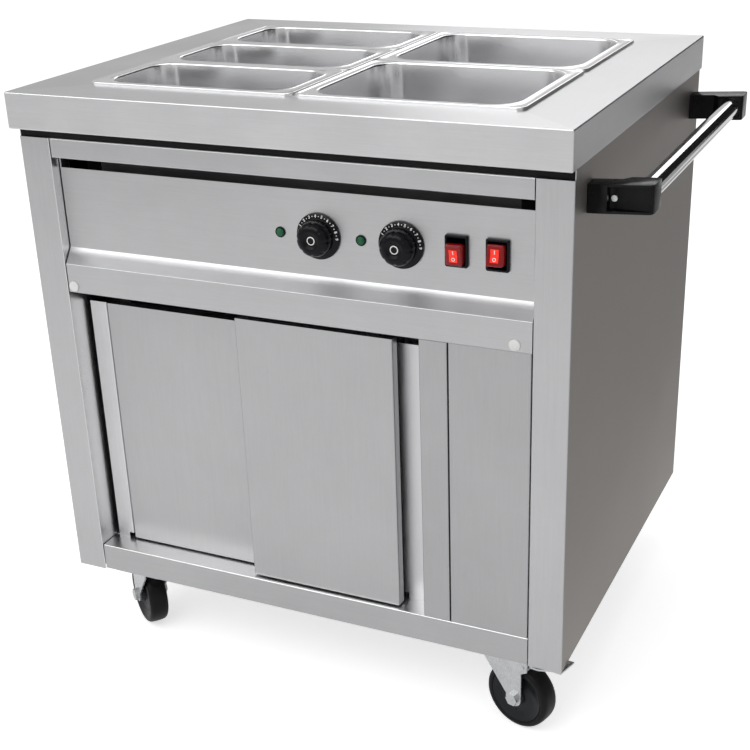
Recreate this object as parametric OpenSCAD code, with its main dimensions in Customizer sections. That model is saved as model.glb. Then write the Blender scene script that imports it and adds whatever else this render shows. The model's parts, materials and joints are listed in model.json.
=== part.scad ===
// Stainless steel hostess trolley: a heated wet well that carries five food pans above a
// hot cupboard with two sliding doors, on four swivel castors, with a push handle on the right.
// Lengths are in millimetres. X runs to the right, Y to the back and Z up. Places are counted
// from the middle of the worktop in X, from its front face in Y and from the floor in Z, and
// placed() then moves the origin to the middle of the whole trolley's footprint.

/* [Worktop] */
// Width of the worktop, left to right
worktop_w = 830; // [780:5:1100]
// Depth of the worktop, front to back
worktop_d = 690; // [660:5:900]
// Height of the worktop's surface above the floor
worktop_h = 905; // [850:5:1000]
// Thickness of the worktop's sheet
worktop_t = 1.5; // [1:0.1:3]
// Height of the worktop's folded skirt
skirt_h = 52; // [30:1:80]
// Width of the flange at the foot of the skirt
skirt_return = 30; // [24:1:40]

/* [Food pans] */
// Width of a pan's rim, left to right
pan_w = 325; // [260:1:330]
// Space that the pans take, front to back
pan_cells_d = 530; // [480:1:545]
// Distance from the worktop's front face to the front pans
pan_front = 78; // [60:1:100]
// Depth of a pan below its rim
pan_depth = 150; // [65:1:175]
// Width of a pan's flat rim at its front and back
pan_rim = 10.75; // [9:0.25:14]
// Width of a pan's flat rim at its left and right ends
pan_end_rim = 18; // [10:0.5:24]
// Height of a pan's rim above the worktop
pan_rim_h = 4; // [3:0.5:8]
// Thickness of a pan's sheet
pan_t = 1; // [0.6:0.1:1.2]
// Radius of the upright corners inside a pan
pan_corner_r = 38; // [25:1:50]
// How far a pan's wall leans inwards from rim to floor
pan_taper = 6; // [3:1:14]

/* [Well] */
// Depth of the heated well below the worktop's sheet
well_depth = 197; // [190:1:215]
// Height of the bars between the pans
bar_h = 12; // [8:1:20]
// Thickness of the well's insulation
insulation_t = 25; // [10:1:30]
// Diameter of the tubular heating elements
element_d = 8.5; // [6:0.5:10]
// Outer diameter of the drain pipe
drain_d = 22; // [15:1:30]

/* [Cabinet] */
// Thickness of the cabinet's sheets
sheet_t = 1.2; // [0.8:0.1:2]
// Inner radius of the bends in the cabinet's sheets
bend_r = 1; // [0.5:0.1:2]
// How far the cabinet's sides and back sit inside the worktop's faces
side_inset = 2.5; // [2:0.5:10]
// How far the cabinet's front sits behind the worktop's front face
front_inset = 18; // [14:1:28]
// Width of the front pillars
pillar_w = 50; // [40:1:70]
// Depth of the pillars' inner returns
pillar_return = 42; // [38:1:60]
// Height of the black seal between the pillars and the worktop
seal_h = 14; // [8:1:20]
// Height of the rail under the doors
bottom_rail_h = 44; // [36:1:60]
// Drop from the worktop's surface to the cupboard's ceiling
ceiling_drop = 272; // [262:1:330]

/* [Control panel] */
// How far the rails sit behind the pillars' front faces
rail_inset = 2; // [1:0.5:6]
// Height of the rail above the control panel
top_rail_h = 28.5; // [15:0.5:40]
// Height of the slot under the top rail
vent_h = 14; // [8:1:24]
// How far the control panel is set back from the rails
panel_recess = 16; // [10:1:22]
// Height of the control panel
panel_h = 136.5; // [125:0.5:150]
// Height of the slope under the control panel
slope_h = 22; // [10:1:30]
// Height of the lip under the slope
lip_h = 44; // [36:1:60]
// Drop from the control panel's top edge to the row of controls
controls_drop = 79.5; // [60:0.5:90]
// Place of the left dial, from the middle of the worktop
dial_x = 54; // [40:1:70]
// Distance from one dial to the next
dial_pitch = 121; // [100:1:125]
// Distance from a dial to the lamp on its left
lamp_offset = 58.5; // [50:0.5:66]
// Place of the left switch, from the middle of the worktop
switch_x = 253; // [245:1:265]
// Distance from one switch to the next
switch_pitch = 56; // [50:1:66]

/* [Dials, lamps and switches] */
// Diameter of a dial's numbered skirt
dial_skirt_d = 64; // [50:1:70]
// Diameter of a dial's grip
dial_grip_d = 46; // [36:1:48]
// How far a dial stands out from the control panel
dial_reach = 27; // [20:1:32]
// Number of hollows around a dial's grip
dial_hollows = 12; // [6:1:20]
// Diameter of a thermostat's spindle
spindle_d = 6; // [4:0.5:8]
// Diameter of an indicator lamp
lamp_d = 15; // [10:1:20]
// Width of a switch's bezel
switch_w = 32; // [30:1:44]
// Height of a switch's bezel
switch_h = 43; // [41:1:60]
// Angle of a rocker from the middle to its end stop
rocker_tilt = 9; // [5:1:11]

/* [Doors] */
// Thickness of a door
door_t = 18; // [12:1:20]
// Distance from the front door's face to the rear door's face
door_pitch = 28; // [26:1:32]
// How much wider the rear door is than the front door
door_extra_w = 40; // [0:1:60]
// How far the doors overlap when both are closed
door_overlap = 6; // [2:1:20]
// How far the front door stands open
front_door_ajar = 40; // [0:1:60]
// Width of the jambs that the rear door closes against
jamb_w = 36; // [20:1:42]
// Width of the jamb beside the post, which reaches in behind the front door
post_jamb_w = 48; // [24:1:60]
// Gap between the left pillar and its jamb
jamb_gap = 7; // [3:1:12]
// Width of the post between the doors and the service panel
post_w = 42; // [30:1:60]
// Width of the service panel on the right, with its joint
service_w = 118.5; // [90:0.5:160]

/* [Handle] */
// Diameter of the handle's tube
handle_tube_d = 28; // [20:1:32]
// How far the handle stands out from the cabinet's side
handle_reach = 84; // [75:1:110]
// Length of the handle over its brackets
handle_l = 588; // [450:1:640]
// Height of the brackets
bracket_h = 37; // [34:1:45]
// Thickness of the brackets where they meet the cabinet
bracket_t = 30; // [27:1:34]
// How far the brackets rise from the cabinet to the handle's end
bracket_rise = 5; // [0:0.5:8]
// Drop from the worktop's surface to the middle of the handle
handle_drop = 100; // [90:1:160]
// How far the handle's middle lies behind the middle of the cabinet
handle_shift = 7; // [0:1:15]

/* [Castors] */
// Height of a castor, from the floor to the top of its plate
castor_h = 131; // [122:1:160]
// Diameter of a wheel
wheel_d = 106; // [75:1:110]
// Width of a wheel's tyre
wheel_w = 32; // [25:1:36]
// Distance from a castor's swivel axis to its wheel's axle, seen from above
castor_trail = 36; // [28:1:38]
// Side of a castor's square top plate
castor_plate = 90; // [84:1:100]
// Distance from the cabinet's side to a castor's swivel axis
castor_side = 106.5; // [70:0.5:120]
// Distance from the cabinet's front or back to a castor's swivel axis
castor_end = 52; // [52:1:100]

/* [Hidden] */
$fn = 64;

// Clearances
running_gap = 0.05;   // between a shaft and its bore, on the radius
slide_gap = 0.3;      // between pieces that move past each other
joint_gap = 1.4;      // between fixed sheets that meet edge to edge
door_gap = 1.5;       // between a door's edge and what it closes against
pan_clear = 3;        // between a pan's wall and the edge of its opening
cut = 1;              // how far a cutting shape runs past the surface that it cuts

// Heights, counted from the floor
top_z = worktop_h;
plate_z = top_z - worktop_t;
skirt_z = top_z - skirt_h;
pillar_top_z = skirt_z - seal_h;
rail_z = pillar_top_z - top_rail_h;
panel_z = rail_z - panel_h;
vent_top_z = rail_z - sheet_t - bend_r - 1;
vent_web = 2;
slope_z = panel_z - slope_h;
lip_z = slope_z - lip_h;
body_z = castor_h;
sill_z = body_z + bottom_rail_h;
ceiling_z = top_z - ceiling_drop;
well_z = plate_z - well_depth;

// Places from left to right
body_x = worktop_w / 2 - side_inset;
inner_x = body_x - pillar_w;
span_x = inner_x - joint_gap;
service_x = inner_x - service_w;
post_x = service_x - post_w;
jamb_left_x = -inner_x + jamb_w;
jamb_right_x = post_x - post_jamb_w;

// Places from front to back
body_y = front_inset;
rail_y = body_y + rail_inset;
panel_y = rail_y + panel_recess;
back_y = worktop_d - side_inset;
back_panel_y = back_y - sheet_t;
liner_back_y = back_panel_y - sheet_t;
front_door_y = rail_y + 8;
rear_door_y = front_door_y + door_pitch;
jamb_y = rear_door_y + 2;

// Pans, in a left column of three and a right column of two
column_gap = 3;
row_gap = 1;
third_d = pan_cells_d / 3;
half_d = pan_cells_d / 2;
pan_mid_x = (column_gap + pan_w) / 2;
rim_corner_r = 13;
pan_floor_r = 20;
seat_w = pan_rim - pan_clear;
bar_half = seat_w + row_gap / 2;
cutout_x = column_gap / 2 + pan_w - seat_w;
cutout_y0 = pan_front + row_gap / 2 + seat_w;
cutout_y1 = pan_front + pan_cells_d - row_gap / 2 - seat_w;

// Drain, in the service compartment
drain_x = (service_x + inner_x) / 2 - 18;
drain_y = worktop_d / 2;
drain_r = drain_d / 2;
drain_margin = 15;
drain_bore_r = drain_r - 1.5;
valve_half = drain_r + 5;
valve_z = body_z - 8 - valve_half;
lever_r = 4;
lever_l = 60;

// The well hangs under the cut-out and reaches over its drain
well_x = max(cutout_x + pan_clear, drain_x + drain_r + drain_margin);
well_y0 = cutout_y0 - pan_clear;
well_y1 = cutout_y1 + pan_clear;
well_flange = 12;
element_r = element_d / 2;
element_out = 26;
element_nut_r = element_r + 4;
well_element_z = well_z + 22;
well_element_y = [well_y0 + 65, well_y1 - 65];
cupboard_element_z = sill_z + 32;
cupboard_element_y = [liner_back_y - 85, liner_back_y - 35];
cupboard_element_x = -inner_x + 60;

// Controls
controls_z = rail_z - controls_drop;
dial_xs = [dial_x, dial_x + dial_pitch];
lamp_xs = [for (x = dial_xs) x - lamp_offset];
switch_xs = [switch_x, switch_x + switch_pitch];
dial_back = 1.4;
dial_skirt_t = 3.5;
bushing_r = spindle_d / 2 + 2.4;
thermostat_half = 20;
thermostat_d = 34;
bezel_t = 5;
rocker_w = 22.6;
rocker_h = 28;
rocker_front = 16;
rocker_pivot = 4;
pivot_r = 1.5;
pocket_wall = 2.2;
pocket_half_w = rocker_w / 2 + 0.5;
pocket_half_h = rocker_h / 2 * cos(rocker_tilt) + (rocker_front + rocker_pivot) * sin(rocker_tilt) + 0.5;
pocket_d = 22;
cap_xs = [-inner_x + 11, inner_x - 25];
cap_z = lip_z + 10;
cap_r = 8;
cap_stem_r = 3;

// Doors, which share the opening between the left jamb and the post
doors_l = jamb_left_x + door_gap;
doors_r = post_x - door_gap;
door_mean_w = (doors_r - doors_l + door_overlap) / 2;
front_door_w = door_mean_w - door_extra_w / 2;
rear_door_w = door_mean_w + door_extra_w / 2;
front_door_x = doors_r - front_door_ajar - front_door_w;
front_door_z = [sill_z + 3, lip_z - 9];
rear_door_z = [sill_z + 3, lip_z - 25];
door_sheet = 1;
track_half = 8;
track_h = 24;
track_t = 1.5;
slot_half = 2.5;
track_ys = [front_door_y + door_t / 2, rear_door_y + door_t / 2];
track_z = ceiling_z - track_h;
glide_z = track_z + track_t + slide_gap;
glide_h = 12;
glide_l = 26;
hanger_half = 1.5;
hanger_l = 20;
hanger_inset = 30;
guide_x = [doors_l + rear_door_w - 43, doors_l + rear_door_w - 3];

// Shelf
shelf_z = (sill_z + ceiling_z) / 2 - 20;
shelf_y = [jamb_y + 45, liner_back_y - 60];
shelf_edge = 18;

// Electrics in the service compartment
inlet_x = service_x + 56;
inlet_z = sill_z + 130;
inlet_half_w = 20;
inlet_half_h = 14;
inlet_flange = 3;
inlet_d = 34;
block_y = [liner_back_y - 125, liner_back_y - 45];
block_z = [inlet_z - 20, inlet_z + 20];
block_x = post_x + sheet_t + 30;
loom_r = 4;
loom_x = service_x - 20;
loom_z = ceiling_z + 17;
loom_front_y = panel_y + 29;
bulb_y = jamb_y + 37;
bulb_x = post_x - 27;

// Handle
handle_z = top_z - handle_drop;
handle_mid_y = (body_y + back_y) / 2 + handle_shift;
handle_y = [handle_mid_y - handle_l / 2, handle_mid_y + handle_l / 2];
tube_r = handle_tube_d / 2;
tube_x = body_x + handle_reach - bracket_h / 2;
socket_l = bracket_t + 10;
socket_end = 12;
bracket_slope = bracket_rise / handle_reach;
tube_z = handle_z + bracket_slope * (tube_x - body_x);
bracket_foot = 25;
screw_r = 3;
screw_head_r = 5.5;
screw_head_h = 3.5;

// Castors
castor_x = body_x - castor_side;
castor_y = [body_y + castor_end, back_y - castor_end];
// Place of each castor and the direction that its wheel trails in: front left, front right,
// rear left, rear right
CASTORS = [
  [-castor_x, castor_y[0], 142],
  [castor_x, castor_y[0], -16],
  [-castor_x, castor_y[1], 20],
  [castor_x, castor_y[1], 160]
];
castor_plate_t = 3;
race_r = 24;
race_h = 5;
kingpin_r = 6;
crown_z = castor_h - castor_plate_t - race_h - slide_gap;
crown_t = 4;
crown_low = crown_z - crown_t;
wheel_r = wheel_d / 2;
axle_r = 6;
leg_t = 2.5;
leg_in = wheel_w / 2 + 3.5;
leg_out = leg_in + leg_t;
bolt_spread = castor_plate / 2 - 14;
bolt_r = 4;
bolt_head_h = 4.5;
pedal_u = castor_trail + 16;
pedal_z = crown_low - 6;
pedal_pin_r = 2.5;
pedal_half_w = leg_in - 2;
pedal_press = 20;
cam_half_t = 3;

// The whole trolley's footprint, whose middle is the origin
reach_right = max(worktop_w / 2, body_x + handle_reach);
middle = [(reach_right - worktop_w / 2) / 2, worktop_d / 2, 0];

steel = [0.72, 0.72, 0.73];
dark_steel = [0.5, 0.5, 0.51];
zinc = [0.75, 0.76, 0.78];
black = [0.07, 0.07, 0.07];
nylon = [0.9, 0.9, 0.88];
red = [0.8, 0.05, 0.05];

// ---------------------------------------------------------------- shapes

function unit(v) = v / norm(v);
function left_of(v) = [-v[1], v[0]];
function turn(a, b) = a[0] * b[1] - a[1] * b[0];
function flip_x(pts) = [for (i = [len(pts) - 1 : -1 : 0]) [-pts[i][0], pts[i][1]]];

// Moves the origin to the middle of the trolley's footprint
module placed() {
  translate(-middle) children();
}

// A sheet of thickness t folded along the line pts, lying on the left of that line,
// with bends of inner radius r
module folded(pts, t = sheet_t, r = bend_r) {
  n = len(pts);
  dirs = [for (i = [0 : n - 2]) unit(pts[i + 1] - pts[i])];
  turns = [for (i = [0 : n - 1]) (i == 0 || i == n - 1) ? 0 : turn(dirs[i - 1], dirs[i])];
  line_r = [for (s = turns) s > 0 ? r + t : r];
  // How far each bend eats into the flats beside it
  back = [for (i = [0 : n - 1]) (i == 0 || i == n - 1) ? 0
    : line_r[i] * tan(acos(dirs[i - 1] * dirs[i]) / 2)];
  for (i = [0 : n - 2]) {
    a = pts[i] + dirs[i] * back[i];
    b = pts[i + 1] - dirs[i] * back[i + 1];
    polygon([a, b, b + left_of(dirs[i]) * t, a + left_of(dirs[i]) * t]);
  }
  for (i = [1 : n - 2]) {
    side = turns[i] > 0 ? 1 : -1;
    from = -left_of(dirs[i - 1]) * side;
    to = -left_of(dirs[i]) * side;
    centre = pts[i] - dirs[i - 1] * back[i] - from * line_r[i];
    far = 3 * (r + t);
    intersection() {
      translate(centre) difference() {
        circle(r + t);
        circle(r);
      }
      translate(centre) polygon([[0, 0], from * far, unit(from + to) * far * 1.5, to * far]);
    }
  }
}

// A plan outline drawn up from z[0] to z[1]
module upright(z) {
  translate([0, 0, z[0]]) linear_extrude(z[1] - z[0]) children();
}

// An outline in Y and Z drawn along X from x[0] to x[1]
module along_x(x) {
  translate([x[0], 0, 0]) rotate([90, 0, 90]) linear_extrude(x[1] - x[0]) children();
}

// An outline in X and Z drawn along Y from y[0] to y[1]
module along_y(y) {
  translate([0, y[1], 0]) rotate([90, 0, 0]) linear_extrude(y[1] - y[0]) children();
}

// A box given by two opposite corners
module block(a, b) {
  translate(a) cube(b - a);
}

// Round bars from point p, of length l along X, Y or Z
module rod_x(p, l, r) {
  translate(p) rotate([0, 90, 0]) cylinder(h = l, r = r);
}
module rod_y(p, l, r) {
  translate(p) rotate([-90, 0, 0]) cylinder(h = l, r = r);
}
module rod_z(p, l, r) {
  translate(p) cylinder(h = l, r = r);
}

// A rectangle with round corners, about the origin
module round_rect(size, r) {
  square([size[0] - 2 * r, size[1]], center = true);
  square([size[0], size[1] - 2 * r], center = true);
  for (x = [-1, 1], y = [-1, 1]) translate([x * (size[0] / 2 - r), y * (size[1] / 2 - r)]) circle(r);
}

// A heating element with two long legs along X at y[0] and y[1], whose ends stand out
// to the right of the wall at wall_x
module heating_loop(far_x, wall_x, y, z, bend) {
  r = element_r;
  end_x = wall_x + element_out;
  for (i = [0, 1]) {
    rod_x([far_x + bend, y[i], z], end_x - far_x - bend, r);
    rod_x([wall_x, y[i], z], 6, element_nut_r);
  }
  for (i = [0, 1])
    translate([far_x + bend, i == 0 ? y[0] + bend : y[1] - bend, z]) rotate([0, 0, i == 0 ? 180 : 90])
      rotate_extrude(angle = 90) translate([bend, 0]) circle(r);
  rod_y([far_x, y[0] + bend, z], y[1] - y[0] - 2 * bend, r);
}

// ---------------------------------------------------------------- worktop and well

module worktop() {
  w = worktop_w / 2;
  t = worktop_t;
  edge_z = top_z - bar_h;
  color(steel) placed() difference() {
    union() {
      difference() {
        block([-w, 0, skirt_z], [w, worktop_d, top_z]);
        block([-w + t, t, skirt_z + t], [w - t, worktop_d - t, plate_z]);
        block([-w + skirt_return, skirt_return, skirt_z - cut],
          [w - skirt_return, worktop_d - skirt_return, skirt_z + t + cut]);
      }
      // The cut-out's edge is turned down
      block([-cutout_x - t, cutout_y0 - t, edge_z], [cutout_x + t, cutout_y1 + t, top_z]);
    }
    block([-cutout_x, cutout_y0, edge_z - cut], [cutout_x, cutout_y1, top_z + cut]);
  }
}

module pan_support_bars() {
  z = top_z - bar_h;
  h = bar_half;
  inside = h - 1.5;
  left_ys = [pan_front + third_d, pan_front + 2 * third_d];
  right_y = pan_front + half_d;
  color(steel) placed() difference() {
    union() {
      block([-h, cutout_y0, z], [h, cutout_y1, top_z]);
      for (y = left_ys) block([-cutout_x, y - h, z], [0, y + h, top_z]);
      block([0, right_y - h, z], [cutout_x, right_y + h, top_z]);
    }
    // The bars are channels, open below
    block([-inside, cutout_y0 - cut, z - cut], [inside, cutout_y1 + cut, plate_z]);
    for (y = left_ys) block([-cutout_x - cut, y - inside, z - cut], [0, y + inside, plate_z]);
    block([0, right_y - inside, z - cut], [cutout_x + cut, right_y + inside, plate_z]);
  }
}

module water_well() {
  t = sheet_t;
  f = well_flange;
  color(dark_steel) placed() difference() {
    union() {
      block([-well_x - t, well_y0 - t, well_z], [well_x + t, well_y1 + t, plate_z]);
      block([-well_x - f, well_y0 - f, plate_z - t], [well_x + f, well_y1 + f, plate_z]);
    }
    block([-well_x, well_y0, well_z + t], [well_x, well_y1, plate_z + cut]);
    rod_z([drain_x, drain_y, well_z - cut], t + 2 * cut, drain_r);
    for (y = well_element_y) rod_x([well_x - cut, y, well_element_z], t + 2 * cut, element_r);
    rod_y([dial_xs[0], well_y0 - t - cut, controls_z], t + 2 * cut, bulb_r);
  }
}

module well_insulation() {
  t = insulation_t;
  x = well_x + sheet_t;
  y0 = well_y0 - sheet_t;
  y1 = well_y1 + sheet_t;
  color([0.85, 0.78, 0.45]) placed() difference() {
    block([-x - t, y0, well_z - t], [x + t, y1 + t, skirt_z]);
    block([-x, y0 - cut, well_z], [x, y1, skirt_z + cut]);
    rod_z([drain_x, drain_y, well_z - t - cut], t + 2 * cut, drain_r + 4);
    for (y = well_element_y) rod_x([x - cut, y, well_element_z], t + 2 * cut, element_nut_r + 3);
  }
}

module well_element() {
  color(dark_steel) placed()
    heating_loop(-well_x + 60, well_x + sheet_t, well_element_y, well_element_z, 30);
}

// ---------------------------------------------------------------- cabinet

// The right side of the cabinet: a pillar, the side and a flange at the back in one sheet
module side_sheet() {
  t = sheet_t;
  side = [[body_x, body_y + 3], [body_x, back_y], [body_x - 20, back_y]];
  pillar = [[inner_x, body_y + pillar_return], [inner_x, body_y], [body_x, body_y], side[1], side[2]];
  difference() {
    union() {
      upright([body_z, pillar_top_z]) folded(pillar);
      upright([pillar_top_z - t, skirt_z]) folded(side);
      block([body_x - 15, body_y + 3, body_z], [body_x - t / 2, back_y - 3, body_z + t]);
      block([body_x - 20, body_y + skirt_return, skirt_z - t], [body_x - t / 2, back_y - 3, skirt_z]);
    }
    // The pillar's return stops above the base
    block([inner_x - cut, body_y + t + bend_r, body_z - cut],
      [inner_x + t + cut, body_y + pillar_return + cut, sill_z]);
  }
}

module side_panel_left() {
  color(steel) placed() mirror([1, 0, 0]) side_sheet();
}

module side_panel_right() {
  color(steel) placed() difference() {
    side_sheet();
    for (y = fixing_ys) rod_x([body_x - 5, y, handle_z], 10, screw_r);
  }
}

module back_panel() {
  t = sheet_t;
  x = body_x - t - bend_r;
  color(steel) placed() difference() {
    block([-x, liner_back_y, body_z], [x, back_panel_y, skirt_z - t - bend_r]);
    block([inlet_x - inlet_half_w, liner_back_y - cut, inlet_z - inlet_half_h],
      [inlet_x + inlet_half_w, back_panel_y + cut, inlet_z + inlet_half_h]);
  }
}

module base_tray() {
  profile = [[liner_back_y, sill_z - 25], [liner_back_y, sill_z], [rail_y, sill_z],
    [rail_y, body_z], [rail_y + 8, body_z]];
  color(steel) placed() difference() {
    along_x([-span_x, span_x]) folded(profile);
    rod_z([drain_x, drain_y, sill_z - 5], 10, drain_r + 1);
  }
}

module base_frame() {
  t = 1.5;
  x = body_x - 15;
  runs = [[castor_y[0] - 39, castor_y[0] + 48], [castor_y[1] - 48, castor_y[1] + 39]];
  color(dark_steel) placed() for (i = [0, 1]) difference() {
    block([-x, runs[i][0], body_z], [x, runs[i][1], sill_z - sheet_t]);
    block([-x - cut, runs[i][0] + t, body_z + t], [x + cut, runs[i][1] - t, sill_z - sheet_t - t]);
    for (s = [-1, 1], dx = [-1, 1], dy = [-1, 1])
      rod_z([s * castor_x + dx * bolt_spread, castor_y[i] + dy * bolt_spread, body_z - cut],
        t + 2 * cut, bolt_r);
  }
}

module top_seal_strip() {
  x = body_x - sheet_t - 1;
  color(black) placed()
    block([-x, body_y + 4, pillar_top_z], [x, body_y + skirt_return - 20, skirt_z]);
}

module control_fascia() {
  profile = [[rail_y + 25, pillar_top_z], [rail_y, pillar_top_z], [rail_y, rail_z],
    [panel_y, rail_z], [panel_y, panel_z], [rail_y, slope_z], [rail_y, lip_z], [rail_y + 7, lip_z]];
  w = pocket_half_w + pocket_wall;
  h = pocket_half_h + pocket_wall;
  color(steel) placed() difference() {
    along_x([-span_x, span_x]) folded(profile);
    // The slot under the rail, which leaves a narrow web at either end
    block([-span_x + vent_web, panel_y - 5, vent_top_z - vent_h],
      [span_x - vent_web, panel_y + 5, vent_top_z]);
    for (x = lamp_xs) rod_y([x, panel_y - 5, controls_z], 10, lamp_d / 2 - 2);
    for (x = dial_xs) rod_y([x, panel_y - 5, controls_z], 10, bushing_r);
    for (x = switch_xs)
      block([x - w, panel_y - 5, controls_z - h], [x + w, panel_y + 5, controls_z + h]);
    for (x = cap_xs) rod_y([x, rail_y - 5, cap_z], 10, cap_stem_r);
  }
}

module fascia_screw_caps() {
  color("white") placed() for (x = cap_xs) {
    translate([x, rail_y, cap_z]) rotate([90, 0, 0]) rotate_extrude()
      polygon([[0, 0], [cap_r, 0], [cap_r, 1.2], [cap_r - 1, 2.2], [0, 2.6]]);
    rod_y([x, rail_y, cap_z], 8, cap_stem_r);
  }
}

module door_post() {
  front = rail_y + 1;
  right = service_x - joint_gap;
  color(steel) placed() difference() {
    union() {
      upright([sill_z, lip_z]) folded([[post_x, liner_back_y], [post_x, front], [right, front],
        [right, front + 20]]);
      block([post_x, jamb_y + 20, lip_z - cut], [post_x + sheet_t, liner_back_y, ceiling_z]);
    }
    for (y = cupboard_element_y) rod_x([post_x - cut, y, cupboard_element_z], 4, element_r);
  }
}

module service_panel() {
  front = rail_y + 1.5;
  color(steel) placed() upright([sill_z, lip_z]) folded([[service_x, front + 20],
    [service_x, front], [span_x - 1, front], [span_x - 1, front + 20]]);
}

module door_jambs() {
  foot = 9;
  z = [sill_z, rear_door_z[1]];
  return_y = jamb_y + 26;
  color(steel) placed() {
    difference() {
      upright(z) folded([[-inner_x + jamb_gap, jamb_y], [jamb_left_x, jamb_y],
        [jamb_left_x, return_y]]);
      block([jamb_left_x - foot, jamb_y - cut, sill_z - cut],
        [jamb_left_x + cut, jamb_y + foot, sill_z + foot]);
    }
    difference() {
      upright(z) folded([[jamb_right_x, return_y], [jamb_right_x, jamb_y], [post_x, jamb_y]]);
      block([jamb_right_x - cut, jamb_y - cut, sill_z - cut],
        [jamb_right_x + foot, jamb_y + foot, sill_z + foot]);
    }
  }
}

module door_tracks() {
  x = [-inner_x, post_x];
  color(dark_steel) placed() {
    for (y = track_ys) difference() {
      block([x[0], y - track_half, track_z], [x[1], y + track_half, ceiling_z]);
      block([x[0] - cut, y - track_half + track_t, track_z + track_t],
        [x[1] + cut, y + track_half - track_t, ceiling_z - track_t]);
      block([x[0] - cut, y - slot_half, track_z - cut], [x[1] + cut, y + slot_half, track_z + track_t + cut]);
    }
    // Guide on the sill that keeps the doors apart at their feet
    block([guide_x[0], front_door_y + door_t + 1, sill_z], [guide_x[1], rear_door_y - 1, sill_z + 16]);
  }
}

module cupboard_liner() {
  y0 = body_y + pillar_return;
  foot_z = sill_z + sheet_t;
  color(steel) placed() along_y([y0, liner_back_y])
    folded([[-inner_x + 15, foot_z], [-inner_x, foot_z], [-inner_x, ceiling_z], [-inner_x - 14, ceiling_z]]);
}

module cupboard_ceiling() {
  t = sheet_t;
  right = post_x + 14;
  color(steel) placed() difference() {
    union() {
      block([-inner_x, rail_y + 12, ceiling_z], [right, liner_back_y, ceiling_z + t]);
      block([-inner_x - 14, body_y + pillar_return, ceiling_z], [right, liner_back_y, ceiling_z + t]);
    }
    rod_z([bulb_x, bulb_y, ceiling_z - cut], t + 2 * cut, capillary_r);
  }
}

module cupboard_shelf() {
  z = shelf_z - shelf_edge;
  color(steel) placed() along_x([-inner_x + 2, post_x - 2])
    folded([[shelf_y[1], z], [shelf_y[1], shelf_z], [shelf_y[0], shelf_z], [shelf_y[0], z]]);
}

module shelf_runners() {
  top = shelf_z - sheet_t;
  y = [shelf_y[0] + 4, shelf_y[1] - 4];
  color(steel) placed() {
    along_y(y) folded([[-inner_x + 16, top], [-inner_x, top], [-inner_x, top - 16]]);
    along_y(y) folded([[post_x, top - 16], [post_x, top], [post_x - 16, top]]);
  }
}

module cupboard_element() {
  color(dark_steel) placed() heating_loop(cupboard_element_x, post_x + sheet_t,
    cupboard_element_y, cupboard_element_z, 20);
}

// ---------------------------------------------------------------- controls and electrics

bulb_r = 4;
capillary_r = 1.2;
spindle_l = 14;

module thermostat_bodies() {
  back = panel_y + sheet_t;
  h = thermostat_half;
  color(dark_steel) placed() for (x = dial_xs) difference() {
    union() {
      block([x - h, back, controls_z - h], [x + h, back + thermostat_d, controls_z + h]);
      rod_y([x, panel_y - 1, controls_z], sheet_t + 2, bushing_r);
    }
    rod_y([x, panel_y - 2, controls_z], spindle_l + 1, spindle_d / 2 + running_gap);
  }
}

module thermostat_bulbs() {
  body_back = panel_y + sheet_t + thermostat_d;
  low = controls_z - thermostat_half;
  x = dial_xs[1];
  y = panel_y + 14;
  z = ceiling_z + 9;
  back = [bulb_x - x, bulb_y - y];
  color([0.75, 0.5, 0.3]) placed() {
    rod_y([dial_xs[0], body_back, controls_z], well_y0 + 45 - body_back, bulb_r);
    rod_z([x, y, z], low - z, capillary_r);
    translate([x, y, z]) rotate([-90, 0, atan2(back[1], back[0]) - 90])
      cylinder(h = norm(back), r = capillary_r);
    for (p = [[x, y, z], [bulb_x, bulb_y, z]]) translate(p) sphere(capillary_r);
    rod_z([bulb_x, bulb_y, ceiling_z - 10], z - ceiling_z + 10, capillary_r);
    rod_z([bulb_x, bulb_y, ceiling_z - 70], 62, bulb_r);
  }
}

module terminal_block() {
  x0 = post_x + sheet_t;
  n = 5;
  step = (block_y[1] - block_y[0]) / n;
  color([0.93, 0.93, 0.88]) placed() difference() {
    block([x0, block_y[0], block_z[0]], [block_x, block_y[1], block_z[1]]);
    for (i = [0 : n - 1], z = [inlet_z - 12, inlet_z + 12])
      rod_x([block_x - 6, block_y[0] + (i + 0.5) * step, z], 7, 3.5);
  }
}

module wiring_loom() {
  y = (block_y[0] + block_y[1]) / 2;
  low = controls_z - thermostat_half - loom_r;
  side_x = well_x + sheet_t + element_out + loom_r;
  r = loom_r;
  color(black) placed() {
    // From the power inlet to the terminal block
    rod_y([inlet_x, y, inlet_z], back_panel_y - inlet_d - y, r);
    rod_x([block_x, y, inlet_z], inlet_x - block_x, r);
    translate([inlet_x, y, inlet_z]) sphere(r);
    // Up from the terminal block, forward under the well and up to the control panel
    rod_z([loom_x, y, block_z[1]], loom_z - block_z[1], r);
    rod_y([loom_x, loom_front_y, loom_z], y - loom_front_y, r);
    rod_z([loom_x, loom_front_y, loom_z], low - loom_z, r);
    rod_x([dial_xs[0], loom_front_y, low], loom_x - dial_xs[0], r);
    for (p = [[loom_x, y, loom_z], [loom_x, loom_front_y, loom_z], [loom_x, loom_front_y, low]])
      translate(p) sphere(r);
    // To the well's element
    for (ye = well_element_y) {
      rod_x([loom_x, ye, loom_z], side_x - loom_x, r);
      translate([side_x, ye, loom_z]) sphere(r);
      rod_z([side_x, ye, loom_z], well_element_z + element_r - loom_z, r);
    }
  }
}

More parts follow.
